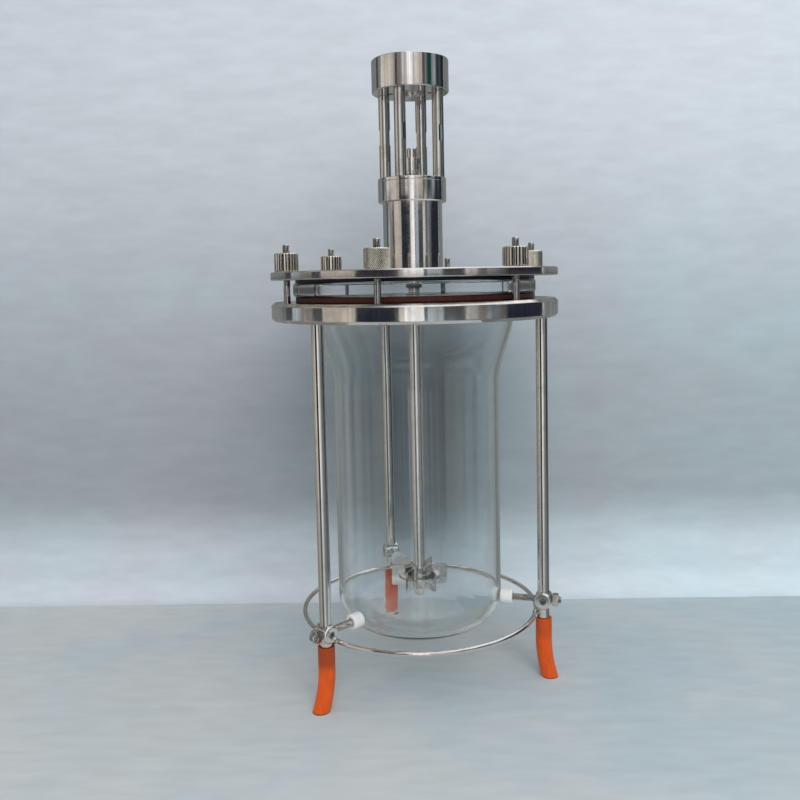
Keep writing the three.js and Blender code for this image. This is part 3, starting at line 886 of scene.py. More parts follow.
@dataclass
class SupportRing:
    """The ring that the legs carry, and the thin hoop brazed between the legs."""

    radius: float = 125.0
    bore: float = 90.0
    chamfer: float = 2.5
    stud_hole: float = 3.3
    stud_hole_floor: float = 3.0
    leg_hole: float = 3.8
    leg_hole_depth: float = 11.3
    hoop_rod: float = 2.0
    bead_half: float = 6.5
    bead_rise: float = 1.1

    def build(self) -> None:
        """Make the ring, the hoop and the beads that join it to the legs."""
        span = Span.of("support_ring")
        bottom, top, inner = span.bottom, span.top, self.chamfer / 2
        outline = [
            (self.bore, bottom + inner), (self.bore + inner, bottom), (self.radius - self.chamfer, bottom),
            (self.radius, bottom + self.chamfer), (self.radius, top - self.chamfer),
            (self.radius - self.chamfer, top), (self.bore + inner, top), (self.bore, top - inner),
        ]
        ring = turned("finished_support_ring", softened(outline, 0.4), 192)
        tools = []
        for number in range(1, 7):
            stud = Span.of(f"stud_{number}")
            hole = rod(self.stud_hole, bottom + self.stud_hole_floor, top + OVERCUT)
            tools.append(placed(hole, at_polar(stud.reach, stud.azimuth)))
        for number in range(1, 4):
            leg = Span.of(f"leg_{number}")
            hole = rod(self.leg_hole, bottom - OVERCUT, bottom + self.leg_hole_depth)
            tools.append(placed(hole, at_polar(leg.reach, leg.azimuth)))
        settle(combined(ring, tools, Joinery.CUT), "stand", MIRROR, "support_ring")
        self.build_hoop()

    def build_hoop(self) -> None:
        """Make the hoop and its beads."""
        span = Span.of("hoop")
        radius, height = (span.high.x - span.low.x) / 2 - self.hoop_rod, span.middle.z
        section = arc((radius, height), self.hoop_rod, 0, 360 * 19 / 20, 19)
        settle(turned("finished_hoop", section, 160), "stand", BAR, "hoop")
        for number in range(1, 4):
            leg = Span.of(f"leg_{number}")
            steps = 14
            swell = [(self.hoop_rod * 0.98 + self.bead_rise * math.sin(math.pi * step / steps) ** 2,
                      self.bead_half * (2 * step / steps - 1)) for step in range(steps + 1)]
            bead = turned(f"hoop_bead_{number}", [(0, -self.bead_half), *swell, (0, self.bead_half)], 32)
            place = at_polar(radius + 0.6, leg.azimuth, height) @ turn(90, "Y")
            settle(placed(bead, place), "stand", WELDED)


@dataclass
class LegStation:
    """One leg with its tube foot, its clamp and its centring screw."""

    number: int
    grub_side: int
    kick: float
    tube: Silicone
    leg_radius: float = 5.0
    spigot_radius: float = 3.5
    spigot_length: float = 11.0
    end_chamfer: float = 1.0
    tube_bore: float = 5.3
    tube_radius: float = 7.0
    rim: float = 0.45
    boss_radius: float = 7.5
    boss_half: float = 7.75
    boss_chamfer: float = 1.2
    boss_bore: float = 5.3
    screw_radius: float = 3.0
    screw_fit: float = 0.3
    screw_chamfer: float = 0.7
    screw_end: float = 8.0
    grub_radius: float = 2.5
    grub_socket: float = 2.5
    grub_socket_depth: float = 1.4
    tip_radius: float = 6.5
    tip_length: float = 11.0
    tip_floor: float = 4.0
    tip_chamfer: float = 0.8
    nut_across: float = 10.0
    nut_length: float = 5.0
    vessel_radius: float = 73.0
    gap: float = 0.3

    def __post_init__(self) -> None:
        """Find the leg and its clamp in the frame."""
        leg = Span.of(f"leg_{self.number}")
        self.azimuth, self.circle, self.leg_span = leg.azimuth, leg.reach, leg
        self.clamp_height = Span.of(f"clamp_body_{self.number}").middle.z

    def build(self) -> None:
        """Make every piece of the station."""
        self.build_leg()
        self.build_foot()
        self.build_clamp()
        self.build_centring()

    def build_leg(self) -> None:
        """Make the leg, with the cross hole that lets the centring screw pass."""
        bottom, top = self.leg_span.bottom, self.leg_span.top
        shoulder = top - self.spigot_length
        outline = [
            (0, bottom), (self.leg_radius - self.end_chamfer, bottom),
            (self.leg_radius, bottom + self.end_chamfer),
            (self.leg_radius, shoulder), (self.spigot_radius, shoulder), (self.spigot_radius, top), (0, top),
        ]
        bar = placed(turned(f"finished_leg_{self.number}", softened(outline, 0.25), 64), self.on_leg(0))
        hole = rod(self.screw_radius + self.screw_fit, self.circle - 9, self.circle + 9)
        placed(hole, outward(self.azimuth, self.clamp_height))
        settle(combined(bar, [hole], Joinery.CUT), "stand", BAR, f"leg_{self.number}")

    def on_leg(self, height: float) -> Matrix:
        """Place on the leg's axis at a height."""
        return at_polar(self.circle, self.azimuth, height)

    def tube_point(self, run: float, angle: float, radius: float, top: float, bend: float) -> Vector:
        """A point of the tube foot.

        Args:
            run: Distance down the tube's middle from its top.
            angle: Angle round the tube.
            radius: Distance from its middle.
            top: Height of its top.
            bend: Height where it starts to bend.

        Returns:
            The point, in the station's own frame with outward at -Y.
        """
        share = max(0.0, (run - (top - bend)) / bend)
        if share <= 0:
            middle, heading = Vector((0, 0, top - run)), Vector((0, 0, -1))
        else:
            inside = min(share, 1.0)
            rise = bend * (1 - inside) ** 2 + bend * inside * (1 - inside)
            middle = Vector((0, -self.kick * inside ** 2, rise))
            heading = Vector((0, -2 * self.kick * inside, -bend)).normalized()
            middle += heading * (share - inside) * bend
        across = Vector((1, 0, 0))
        return middle + (across * math.cos(angle) + heading.cross(across) * math.sin(angle)) * radius

    def floor_run(self, angle: float, radius: float, top: float, bend: float) -> float:
        """How far down the tube the line at an angle and radius meets the floor."""
        low, high = 0.0, top * 1.6
        for _ in range(40):
            half = (low + high) / 2
            low, high = (half, high) if self.tube_point(half, angle, radius, top, bend).z > 0 else (low, half)
        return low

    def build_foot(self) -> None:
        """Make the soft tube, bent outward and cut level with the floor."""
        top, bend = Span.of(f"foot_sleeve_{self.number}").top, self.leg_span.bottom
        segments, steps = 48, 44
        rim = [(self.tube_bore, self.rim), (self.tube_bore + self.rim / 3, self.rim / 4),
               (self.tube_bore + self.rim, 0.0), (self.tube_radius - self.rim, 0.0),
               (self.tube_radius - self.rim / 3, self.rim / 4), (self.tube_radius, self.rim)]
        lines: list[tuple[float, float]] = [(self.tube_bore, 1 - step / steps) for step in range(steps)]
        outer = [(self.tube_radius, step / steps) for step in range(1, steps + 1)]
        points: list[Vector] = []
        for step in range(segments):
            angle = math.tau * step / segments
            for radius, share in lines:
                points.append(self.foot_point(share, angle, radius, top, bend))
            for radius, run in rim:
                points.append(self.tube_point(run, angle, radius, top, bend))
            for radius, share in outer:
                points.append(self.foot_point(share, angle, radius, top, bend))
        count = len(points) // segments
        faces = []
        for step in range(segments):
            after = (step + 1) % segments
            for row in range(count):
                ahead = (row + 1) % count
                here, there = step * count, after * count
                faces.append((here + row, there + row, there + ahead, here + ahead))
        foot = linked(f"finished_foot_sleeve_{self.number}", points, faces)
        settle(placed(foot, self.on_leg(0)), "stand", self.tube, f"foot_sleeve_{self.number}")

    def foot_point(self, share: float, angle: float, radius: float, top: float, bend: float) -> Vector:
        """A point of the tube foot at a share of the way from under its rim to the floor."""
        end = self.floor_run(angle, radius, top, bend)
        point = self.tube_point(self.rim + (end - self.rim) * share, angle, radius, top, bend)
        point.z = max(0.0, point.z)
        return point

    def build_clamp(self) -> None:
        """Make the boss across the leg and its grub screw."""
        half, side = self.boss_half, self.grub_side
        outline = [
            (0, -half), (self.boss_radius - self.boss_chamfer, -half),
            (self.boss_radius, self.boss_chamfer - half),
            (self.boss_radius, half - self.boss_chamfer), (self.boss_radius - self.boss_chamfer, half),
            (0, half),
        ]
        across = self.on_leg(self.clamp_height) @ turn(side * 90, "Y")
        boss = placed(turned(f"finished_clamp_body_{self.number}", softened(outline, 0.6, 4), 72), across)
        reach = self.boss_radius + OVERCUT
        leg_hole = placed(rod(self.boss_bore, -reach, reach), self.on_leg(self.clamp_height))
        screw_hole = rod(self.screw_radius + self.screw_fit, self.circle - reach, self.circle + reach)
        placed(screw_hole, outward(self.azimuth, self.clamp_height))
        grub_hole = placed(rod(self.grub_radius + self.screw_fit, 0, half + OVERCUT), across)
        combined(boss, [leg_hole, screw_hole, grub_hole], Joinery.CUT)
        settle(boss, "stand", FACED, f"clamp_body_{self.number}")
        thread = Thread(self.grub_radius, 0.8, 0.35)
        outline = [(0, self.boss_bore), *rows(self.grub_radius, self.boss_bore, half - 0.3, 0.16),
                   (self.grub_radius - 0.35, half), (0, half)]
        grub = placed(turned(f"finished_clamp_screw_{self.number}", outline, 36, thread), across)
        socket = placed(hexagon_key(self.grub_socket, half - self.grub_socket_depth, half + OVERCUT), across)
        settle(combined(grub, [socket], Joinery.CUT), "stand", DARK, f"clamp_screw_{self.number}")

    def build_centring(self) -> None:
        """Make the centring screw with its white tip and lock nut."""
        number, body = self.number, f"centring_{self.number}"
        place = outward(self.azimuth, self.clamp_height)
        inner = self.vessel_radius + self.gap
        start = inner + self.tip_floor + self.gap
        outer = self.circle + self.boss_radius + self.screw_end
        thread = Thread(self.screw_radius)
        outline = [(0, start), *rows(self.screw_radius, start, outer - self.screw_chamfer, 0.17),
                   (self.screw_radius - self.screw_chamfer, outer), (0, outer)]
        screw = turned(f"finished_centring_screw_{number}", outline, 40, thread)
        settle(placed(screw, place), body, THREADED, f"centring_screw_{number}")
        bore = self.screw_radius + self.screw_fit
        outline = [
            (0, inner), (self.tip_radius - self.tip_chamfer, inner),
            (self.tip_radius, inner + self.tip_chamfer),
            (self.tip_radius, inner + self.tip_length - self.tip_chamfer),
            (self.tip_radius - self.tip_chamfer, inner + self.tip_length), (bore, inner + self.tip_length),
            (bore, inner + self.tip_floor), (0, inner + self.tip_floor),
        ]
        tip = turned(f"finished_centring_tip_{number}", softened(outline, 0.5), 72)
        settle(placed(tip, place), body, WHITE, f"centring_tip_{number}")
        low = self.circle + self.boss_radius + self.gap
        high = low + self.nut_length
        corner = self.nut_across / 2 / math.cos(math.pi / 6)
        ease = corner - self.nut_across / 2
        outline = [
            (bore, low), (self.nut_across / 2, low), (corner, low + ease * 0.6), (corner, high - ease * 0.6),
            (self.nut_across / 2, high), (bore + 0.5, high), (bore, high - 0.5),
        ]
        hexagon = Hexagon(self.nut_across)
        nut = turned(f"finished_centring_nut_{number}", softened(outline, 0.12, 2), 72, hexagon)
        settle(placed(nut, place @ turn(30)), body, NUT, f"centring_nut_{number}")


@dataclass
class Vessel:
    """The glass vessel, its gaskets and the head plate over it."""

    radius: float = 73.0
    wall: float = 3.5
    crown: float = 120.0
    knuckle: float = 25.0
    rings: float = 0.05
    ring_step: float = 9.5
    flare: float = 14.0
    flare_height: float = 63.0
    flange_radius: float = 106.0
    flange_height: float = 12.0
    flange_fillet: float = 4.0
    flange_edge: float = 2.6
    gasket_radius: float = 104.0
    head_gasket_bore: float = 85.5
    flange_gasket_bore: float = 92.0
    plate_radius: float = 125.0
    plate_chamfer: float = 0.8
    stud_hole: float = 3.3
    seal_hole: float = 7.4
    recess: float = 17.3
    recess_depth: float = 4.0

    def build(self) -> None:
        """Make the glass, both gaskets and the head plate."""
        glass = turned("finished_glass", self.glass_outline(), 192)
        settle(glass, "stand", CLEAR, "glass_vessel", "glass_neck")
        head, flange = Span.of("head_gasket"), Span.of("flange_gasket")
        self.gasket("finished_head_gasket", self.head_gasket_bore, head, 0.5, BLACK, "head_gasket")
        self.gasket("finished_flange_gasket", self.flange_gasket_bore, flange, 1.1, SHEET, "flange_gasket")
        self.build_plate()

    def wall_outline(self, inset: float) -> Outline:
        """One face of the glass from the bottom's middle to the neck.

        Args:
            inset: How far inside the outer face it runs.

        Returns:
            Its points, going up.
        """
        ground = Span.of("glass_vessel").bottom
        flare_bottom = Span.of("glass_vessel").top
        reach = self.radius - self.knuckle
        centre = ground + self.crown
        joint = math.degrees(math.asin(reach / (self.crown - self.knuckle)))
        knuckle_centre = centre - math.sqrt((self.crown - self.knuckle) ** 2 - reach ** 2)
        points = arc((0, centre), self.crown - inset, 0, joint, 84)
        points[0] = (0.0, points[0][1])
        if inset > 0:
            points = [(reach, height + self.rings * math.sin(math.tau * reach / self.ring_step) *
                       min(1.0, reach / self.ring_step)) for reach, height in points]
        points += arc((reach, knuckle_centre), self.knuckle - inset, joint, 90, 20)[1:]
        points += rows(self.radius - inset, knuckle_centre, flare_bottom, 12)[1:]
        for step in range(1, 33):
            share = step / 32
            ease = share * share * (3 - 2 * share)
            points.append((self.radius - inset + self.flare * ease, flare_bottom + self.flare_height * share))
        return points

    def glass_outline(self) -> Outline:
        """Outline of the whole glass, out along the outside and back along the inside."""
        top = Span.of("glass_neck").top
        under = top - self.flange_height
        neck = self.radius + self.flare
        outside = self.wall_outline(0)
        inner_curve = self.flange_fillet
        fillet = arc((neck + inner_curve, under - inner_curve), inner_curve, -90, -180, 8)
        edge = self.flange_edge
        rim = arc((self.flange_radius - edge, under + edge), edge, 0, 90, 6)
        rim += arc((self.flange_radius - edge, top - edge), edge, 90, 180, 6)
        lip = arc((neck - self.wall + 1.2, top - 1.2), 1.2, 180, 270, 5)
        inside = self.wall_outline(self.wall)
        return [*outside, *fillet, *rim, *lip, *reversed(inside)]

    def gasket(self, name: str, bore: float, span: Span, ease: float, finish: Finish, node: str) -> None:
        """Make one flat ring gasket.

        Args:
            name: Name of the piece.
            bore: Radius of its hole.
            span: Where it lies.
            ease: Rounding of its edges.
            finish: Its finish.
            node: Solid that it stands for.
        """
        outline = [(bore, span.bottom), (self.gasket_radius, span.bottom), (self.gasket_radius, span.top),
                   (bore, span.top)]
        settle(turned(name, softened(outline, ease, 4), 192), "stand", finish, node)

    def build_plate(self) -> None:
        """Make the head plate."""
        span = Span.of("head_plate")
        bottom, top, edge = span.bottom, span.top, self.plate_chamfer
        floor = top - self.recess_depth
        outline = [
            (self.seal_hole, bottom), (self.plate_radius - edge, bottom), (self.plate_radius, bottom + edge),
            (self.plate_radius, top - edge), (self.plate_radius - edge, top), (self.recess, top),
            (self.recess, floor), (self.seal_hole, floor),
        ]
        plate = turned("finished_head_plate", softened(outline, 0.25), 192)
        tools = []
        for number in range(1, 7):
            stud = Span.of(f"stud_{number}")
            hole = rod(self.stud_hole, bottom - OVERCUT, top + OVERCUT)
            tools.append(placed(hole, at_polar(stud.reach, stud.azimuth)))
        settle(combined(plate, tools, Joinery.CUT), "stand", MIRROR, "head_plate")


class Grip(Enum):
    """How the side of a knurled nut is cut."""

    DIAMOND = "diamond"
    FLUTED = "fluted"
    FINE = "fine"


@dataclass
class StudSet:
    """The studs round the head plate and the knurled nuts on them."""

    radius: float = 3.0
    chamfer: float = 0.7
    thread_below_plate: float = 5.0
    nut_radius: float = 10.25
    nut_bore: float = 3.3
    nut_chamfer: float = 0.9
    grips: tuple[Grip, ...] = (Grip.DIAMOND, Grip.FLUTED, Grip.FINE, Grip.FLUTED, Grip.FLUTED)

    def build(self) -> None:
        """Make the studs and nuts."""
        for number in range(1, 7):
            self.build_stud(number)
        for number in range(1, 6):
            self.build_nut(number)

    def build_stud(self, number: int) -> None:
        """Make one stud, threaded above the plate."""
        span = Span.of(f"stud_{number}")
        start = Span.of("head_plate").bottom - self.thread_below_plate
        outline = [(0, span.bottom), (self.radius - 0.5, span.bottom), (self.radius, span.bottom + 0.5),
                   *rows(self.radius, start, span.top - self.chamfer, 0.17),
                   (self.radius - self.chamfer, span.top), (0, span.top)]
        stud = turned(f"finished_stud_{number}", outline, 40, Thread(self.radius, start=start))
        settle(placed(stud, at_polar(span.reach, span.azimuth)), "stand", THREADED, f"stud_{number}")

    def grip_skin(self, grip: Grip) -> tuple[Skin, int, float]:
        """Surface, segments and row spacing for a grip.

        Args:
            grip: The kind of grip.

        Returns:
            The surface, the steps round the nut and the spacing of its rows.
        """
        if grip is Grip.FLUTED:
            return Flutes(self.nut_radius), 384, 4.0
        if grip is Grip.FINE:
            return Diamonds(self.nut_radius, 52, 1.9, 0.2), 416, 0.24
        return Diamonds(self.nut_radius), 380, 0.22

    def build_nut(self, number: int) -> None:
        """Make one knurled nut, which turns on its stud."""
        span = Span.of(f"knurled_nut_{number}")
        bottom, top, edge = span.bottom, span.top, self.nut_chamfer
        skin, segments, spacing = self.grip_skin(self.grips[number - 1])
        outline = [
            (self.nut_bore, bottom), (self.nut_radius - edge, bottom),
            *rows(self.nut_radius, bottom + edge, top - edge, spacing),
            (self.nut_radius - edge, top), (self.nut_bore + 0.9, top), (self.nut_bore, top - 0.9),
        ]
        nut = turned(f"finished_knurled_nut_{number}", outline, segments, skin)
        place = at_polar(span.reach, span.azimuth)
        settle(placed(nut, place), f"nut_{number}", KNURLED, f"knurled_nut_{number}")


@dataclass
class Lantern:
    """Bearing housing, its cover, four posts and the motor seat."""

    housing_radius: float = 26.0
    collar_radius: float = 29.8
    collar_height: float = 17.5
    spigot_radius: float = 17.0
    pocket: float = 13.3
    through_bore: float = 9.0
    gap: float = 0.3
    edge: float = 0.6
    cover_bore: float = 6.0
    post_radius: float = 5.0
    post_stud_radius: float = 3.0
    post_stud_length: float = 12.0
    flat_depth: float = 0.75
    flat_rise: float = 30.7
    flat_height: float = 13.6
    flat_turns: tuple[float, ...] = (90.0, 46.0, 36.0, 90.0)
    seat_radius: float = 33.4
    seat_inner: float = 30.2
    seat_web: float = 7.0
    seat_bore: float = 13.0
    motor_hole: float = 2.15
    motor_circle: float = 17.0
    motor_turns: tuple[float, ...] = (-92.0, 88.0)
    screw_radius: float = 2.5
    screw_hole_depth: float = 12.0
    head_radius: float = 4.25
    socket: float = 4.0
    socket_depth: float = 2.5
    seal_bore: float = 5.3
    seal_radius: float = 7.1

    def build(self) -> None:
        """Make the housing, its cover, the posts, the motor seat, its screws and the seal."""
        self.build_housing()
        self.build_cover()
        for number in range(1, 5):
            self.build_post(number)
            self.build_seat_screw(number)
        self.build_seat()
        self.build_seal()
        dress("lower_bearing", BEARING)
        dress("upper_bearing", BEARING)

    def post_tools(self, radius: float, bottom: float, top: float) -> list[bpy.types.Object]:
        """Rods at the four posts, to cut their holes with.

        Args:
            radius: Radius of the holes.
            bottom: Where they start.
            top: Where they end.

        Returns:
            The rods, in place.
        """
        posts = [Span.of(f"lantern_post_{number}") for number in range(1, 5)]
        return [placed(rod(radius, bottom, top), at_polar(post.reach, post.azimuth)) for post in posts]

    def build_housing(self) -> None:
        """Make the bearing housing."""
        span, plate_top = Span.of("bearing_housing"), Span.of("head_plate").top
        lower = Span.of("lower_bearing").top + self.gap
        upper = Span.of("upper_bearing").bottom
        collar = span.top - self.collar_height
        outline = [
            (self.through_bore, lower), (self.pocket, lower), (self.pocket, span.bottom),
            (self.spigot_radius, span.bottom), (self.spigot_radius, plate_top),
            (self.housing_radius - self.edge, plate_top), (self.housing_radius, plate_top + self.edge),
            (self.housing_radius, collar), (self.collar_radius - self.edge, collar),
            (self.collar_radius, collar + self.edge), (self.collar_radius, span.top), (self.pocket, span.top),
            (self.pocket, upper), (self.through_bore, upper),
        ]
        housing = turned("finished_bearing_housing", softened(outline, 0.35), 128)
        depth = Span.of("lantern_post_1").bottom - self.gap
        tools = self.post_tools(self.post_stud_radius + self.gap, depth, span.top + OVERCUT)
        settle(combined(housing, tools, Joinery.CUT), "stand", MIRROR, "bearing_housing")

    def build_cover(self) -> None:
        """Make the cover over the upper bearing."""
        span = Span.of("bearing_cover")
        outline = [(self.cover_bore, span.bottom), (self.collar_radius, span.bottom),
                   (self.collar_radius, span.top), (self.cover_bore, span.top)]
        cover = turned("finished_bearing_cover", softened(outline, 0.45), 128)
        radius = self.post_stud_radius + self.gap
        tools = self.post_tools(radius, span.bottom - OVERCUT, span.top + OVERCUT)
        settle(combined(cover, tools, Joinery.CUT), "stand", MIRROR, "bearing_cover")

    def build_post(self, number: int) -> None:
        """Make one post with its wrench flats."""
        name = f"lantern_post_{number}"
        span = Span.of(name)
        foot = span.bottom + self.post_stud_length
        outline = [
            (0, span.bottom), (self.post_stud_radius, span.bottom), (self.post_stud_radius, foot),
            (self.post_radius, foot), (self.post_radius, span.top), (0, span.top),
        ]
        place = at_polar(span.reach, span.azimuth)
        post = placed(turned(f"finished_{name}", softened(outline, 0.35), 64), place)
        upright = shift(span.middle.x, span.middle.y, 0) @ turn(self.flat_turns[number - 1])
        wide, low = self.post_radius + OVERCUT, foot + self.flat_rise
        flats = [
            placed(block((-wide, self.post_radius - self.flat_depth, low),
                         (wide, 2 * self.post_radius, low + self.flat_height)), upright @ turn(way))
            for way in (0, 180)
        ]
        hole = rod(self.screw_radius + self.gap, span.top - self.screw_hole_depth, span.top + OVERCUT)
        combined(post, [*flats, placed(hole, place)], Joinery.CUT)
        settle(post, "stand", POST, name)

    def build_seat(self) -> None:
        """Make the ring that the stirrer motor sits in."""
        span = Span.of("motor_seat_ring")
        web = span.bottom + self.seat_web
        outline = [
            (self.seat_bore, span.bottom), (self.seat_radius - self.edge, span.bottom),
            (self.seat_radius, span.bottom + self.edge), (self.seat_radius, span.top - self.edge),
            (self.seat_radius - self.edge, span.top), (self.seat_inner, span.top),
            (self.seat_inner, web), (self.seat_bore, web),
        ]
        seat = turned("finished_motor_seat_ring", softened(outline, 0.35), 128)
        tools = self.post_tools(self.screw_radius + self.gap, span.bottom - OVERCUT, web + OVERCUT)
        for azimuth in self.motor_turns:
            hole = rod(self.motor_hole, span.bottom - OVERCUT, web + OVERCUT)
            tools.append(placed(hole, at_polar(self.motor_circle, azimuth)))
        settle(combined(seat, tools, Joinery.CUT), "stand", MIRROR, "motor_seat_ring")

    def build_seat_screw(self, number: int) -> None:
        """Make one socket screw that holds the motor seat on its post."""
        span, web = Span.of(f"seat_screw_{number}"), Span.of("motor_seat_ring").bottom + self.seat_web
        knurl, thread = Diamonds(self.head_radius, 28, 1.4, 0.18), Thread(self.screw_radius, 0.8, 0.4)

        def skin(angle: float, height: float) -> float:
            """Thread below the head, knurling on it."""
            return thread(angle, height) if height < web else knurl(angle, height)

        outline = [
            (0, span.bottom), (self.screw_radius - 0.4, span.bottom),
            *rows(self.screw_radius, span.bottom + 0.4, web - 0.1, 0.2), (self.screw_radius, web),
            (self.head_radius, web), *rows(self.head_radius, web + 0.05, span.top - 0.5, 0.3),
            (self.head_radius - 0.5, span.top), (0, span.top),
        ]
        place = at_polar(span.reach, span.azimuth)
        screw = placed(turned(f"finished_seat_screw_{number}", outline, 112, skin), place)
        socket = placed(hexagon_key(self.socket, span.top - self.socket_depth, span.top + OVERCUT), place)
        settle(combined(screw, [socket], Joinery.CUT), "stand", DARK, f"seat_screw_{number}")

    def build_seal(self) -> None:
        """Make the lip seal round the shaft, under the head plate."""
        span = Span.of("shaft_seal")
        outline = [(self.seal_bore, span.bottom), (self.seal_radius, span.bottom),
                   (self.seal_radius, span.top),
                   (self.seal_bore, span.top)]
        settle(turned("finished_shaft_seal", softened(outline, 1.7, 6), 96), "stand", BLACK, "shaft_seal")


@dataclass
class Stirrer:
    """The shaft with its coupling hub, clip and disc turbine."""

    radius: float = 5.0
    chamfer: float = 0.8
    journal: float = 4.5
    journal_flat: float = 1.0
    journal_turn: float = -75.0
    groove: float = 0.7
    gap: float = 0.3
    hub_radius: float = 7.0
    hub_neck: float = 6.2
    hub_neck_height: float = 2.6
    hub_screw_drop: float = 3.4
    hub_screw_turn: float = 70.0
    set_screw: float = 2.0
    set_screw_proud: float = 0.2
    set_socket: float = 2.0
    clip_radius: float = 6.75
    clip_mouth: float = 70.0
    disc_radius: float = 18.7
    disc_thickness: float = 2.0
    turbine_hub: float = 7.5
    turbine_above: float = 9.0
    turbine_below: float = 11.0
    blade_reach: float = 25.0
    blade_width: float = 12.5
    blade_height: float = 18.0
    blade_thickness: float = 1.5
    blade_count: int = 6
    first_blade: float = -27.0
    screw_rise: float = 5.0
    screw_turn: float = 3.0

    def build(self) -> None:
        """Make every piece that turns."""
        self.build_shaft()
        self.build_hub()
        self.build_clip()
        self.build_turbine()
        dress("bearing_spacer", BEARING)

    def build_shaft(self) -> None:
        """Make the shaft with its clip groove and flatted journal."""
        span, hub, clip = Span.of("stirrer_shaft"), Span.of("coupling_hub"), Span.of("shaft_clip")
        low, high, step = clip.bottom - self.gap, clip.top + self.gap, hub.bottom - self.gap
        neck = self.radius - self.groove
        outline = [
            (0, span.bottom), (self.radius - self.chamfer, span.bottom),
            (self.radius, span.bottom + self.chamfer),
            (self.radius, low), (neck, low), (neck, high), (self.radius, high), (self.radius, step),
            (self.journal, step), (self.journal, span.top - self.chamfer),
            (self.journal - self.chamfer, span.top), (0, span.top),
        ]
        shaft = turned("finished_stirrer_shaft", softened(outline, 0.2), 64)
        wide = self.journal + OVERCUT
        far_corner = (wide, self.journal_flat - self.journal, span.top + OVERCUT)
        flat = block((-wide, -wide, hub.top + self.gap), far_corner)
        combined(shaft, [placed(flat, turn(self.journal_turn))], Joinery.CUT)
        settle(shaft, "stirrer", BAR, "stirrer_shaft")

    def build_hub(self) -> None:
        """Make the coupling hub and its set screw."""
        span, bore = Span.of("coupling_hub"), self.journal + self.gap
        neck_top = span.bottom + self.hub_neck_height
        outline = [(bore, span.bottom), (self.hub_neck, span.bottom), (self.hub_neck, neck_top),
                   (self.hub_radius, neck_top), (self.hub_radius, span.top), (bore, span.top)]
        hub = turned("finished_coupling_hub", softened(outline, 0.3), 72)
        place = outward(self.hub_screw_turn, span.top - self.hub_screw_drop)
        hole = placed(rod(self.set_screw + self.gap, 0, self.hub_radius + OVERCUT), place)
        settle(combined(hub, [hole], Joinery.CUT), "stirrer", MIRROR, "coupling_hub")
        self.build_set_screw("hub_set_screw", bore, self.hub_radius + self.set_screw_proud, place)

    def build_set_screw(self, node: str, inner: float, outer: float, place: Matrix) -> None:
        """Make one set screw with a hexagon socket.

        Args:
            node: Solid that it stands for.
            inner: Distance of its inner end from the stirrer's axis.
            outer: Distance of its outer end.
            place: Where its axis runs.
        """
        thread = Thread(self.set_screw, 0.7, 0.3)
        outline = [(0, inner), *rows(self.set_screw, inner, outer - 0.25, 0.14),
                   (self.set_screw - 0.25, outer),
                   (0, outer)]
        screw = placed(turned(f"finished_{node}", outline, 36, thread), place)
        socket = placed(hexagon_key(self.set_socket, (inner + outer) / 2, outer + OVERCUT), place)
        settle(combined(screw, [socket], Joinery.CUT), "stirrer", DARK, node)

    def build_clip(self) -> None:
        """Make the open spring clip in the shaft's groove."""
        span = Span.of("shaft_clip")
        inner, half = self.radius - self.groove + self.gap, self.clip_mouth / 2
        outline = [(inner, span.bottom), (self.clip_radius, span.bottom), (self.clip_radius, span.top),
                   (inner, span.top)]
        clip = part_turned("finished_shaft_clip", softened(outline, 0.2, 2), half - 180, 180 - half, 72)
        settle(clip, "stirrer", DARK, "shaft_clip")

    def build_turbine(self) -> None:
        """Make the disc turbine with its welded blades, and its set screw."""
        middle = Span.of("impeller").middle.z - (self.turbine_above - self.turbine_below) / 2
        bore, half = self.radius + self.gap, self.disc_thickness / 2
        bottom, top = middle - self.turbine_below, middle + self.turbine_above
        outline = [
            (bore, bottom), (self.turbine_hub, bottom), (self.turbine_hub, middle - half),
            (self.disc_radius, middle - half), (self.disc_radius, middle + half),
            (self.turbine_hub, middle + half),
            (self.turbine_hub, top), (bore, top),
        ]
        turbine = turned("finished_impeller", softened(outline, 0.3), 96)
        blades = [self.blade(self.first_blade + 360 * index / self.blade_count, middle)
                  for index in range(self.blade_count)]
        combined(turbine, blades, Joinery.WELD)
        place = outward(self.screw_turn, middle + self.screw_rise)
        hole = placed(rod(self.set_screw + self.gap, 0, self.turbine_hub + OVERCUT), place)
        settle(combined(turbine, [hole], Joinery.CUT), "stirrer", WELDED, "impeller")
        self.build_set_screw("impeller_set_screw", bore, self.turbine_hub, place)

    def blade(self, azimuth: float, middle: float) -> bpy.types.Object:
        """One flat blade with rounded corners.

        Args:
            azimuth: Where it points.
            middle: Height of its middle.

        Returns:
            The blade, in place.
        """
        thick, tall = self.blade_thickness / 2, self.blade_height / 2
        inner = self.blade_reach - self.blade_width
        corners = [(inner, -tall), (self.blade_reach, -tall), (self.blade_reach, tall), (inner, tall)]
        face = softened(corners, 1.2, 4)
        count = len(face)
        points = [(side, -reach, height) for side in (-thick, thick) for reach, height in face]
        faces = [tuple(range(count)), tuple(range(count, 2 * count))]
        faces += [(index, (index + 1) % count, (index + 1) % count + count, index + count)
                  for index in range(count)]
        return placed(linked("blade", points, faces), turn(azimuth) @ shift(0, 0, middle))


# Studio


class Card(Enum):
    """Tones of what stands round the bench and shows in polished metal."""

    WHITE = (1.10, 1.10, 1.10)
    PALE = (0.70, 0.70, 0.68)
    CREAM = (0.62, 0.56, 0.49)
    BEIGE = (0.27, 0.245, 0.22)
    BROWN = (0.09, 0.065, 0.06)
    SLATE = (0.06, 0.07, 0.08)
    INK = (0.02, 0.025, 0.04)
    GREEN = (0.01, 0.06, 0.05)
    SKY = (0.42, 0.48, 0.52)
    BENCH = (0.22, 0.24, 0.235)


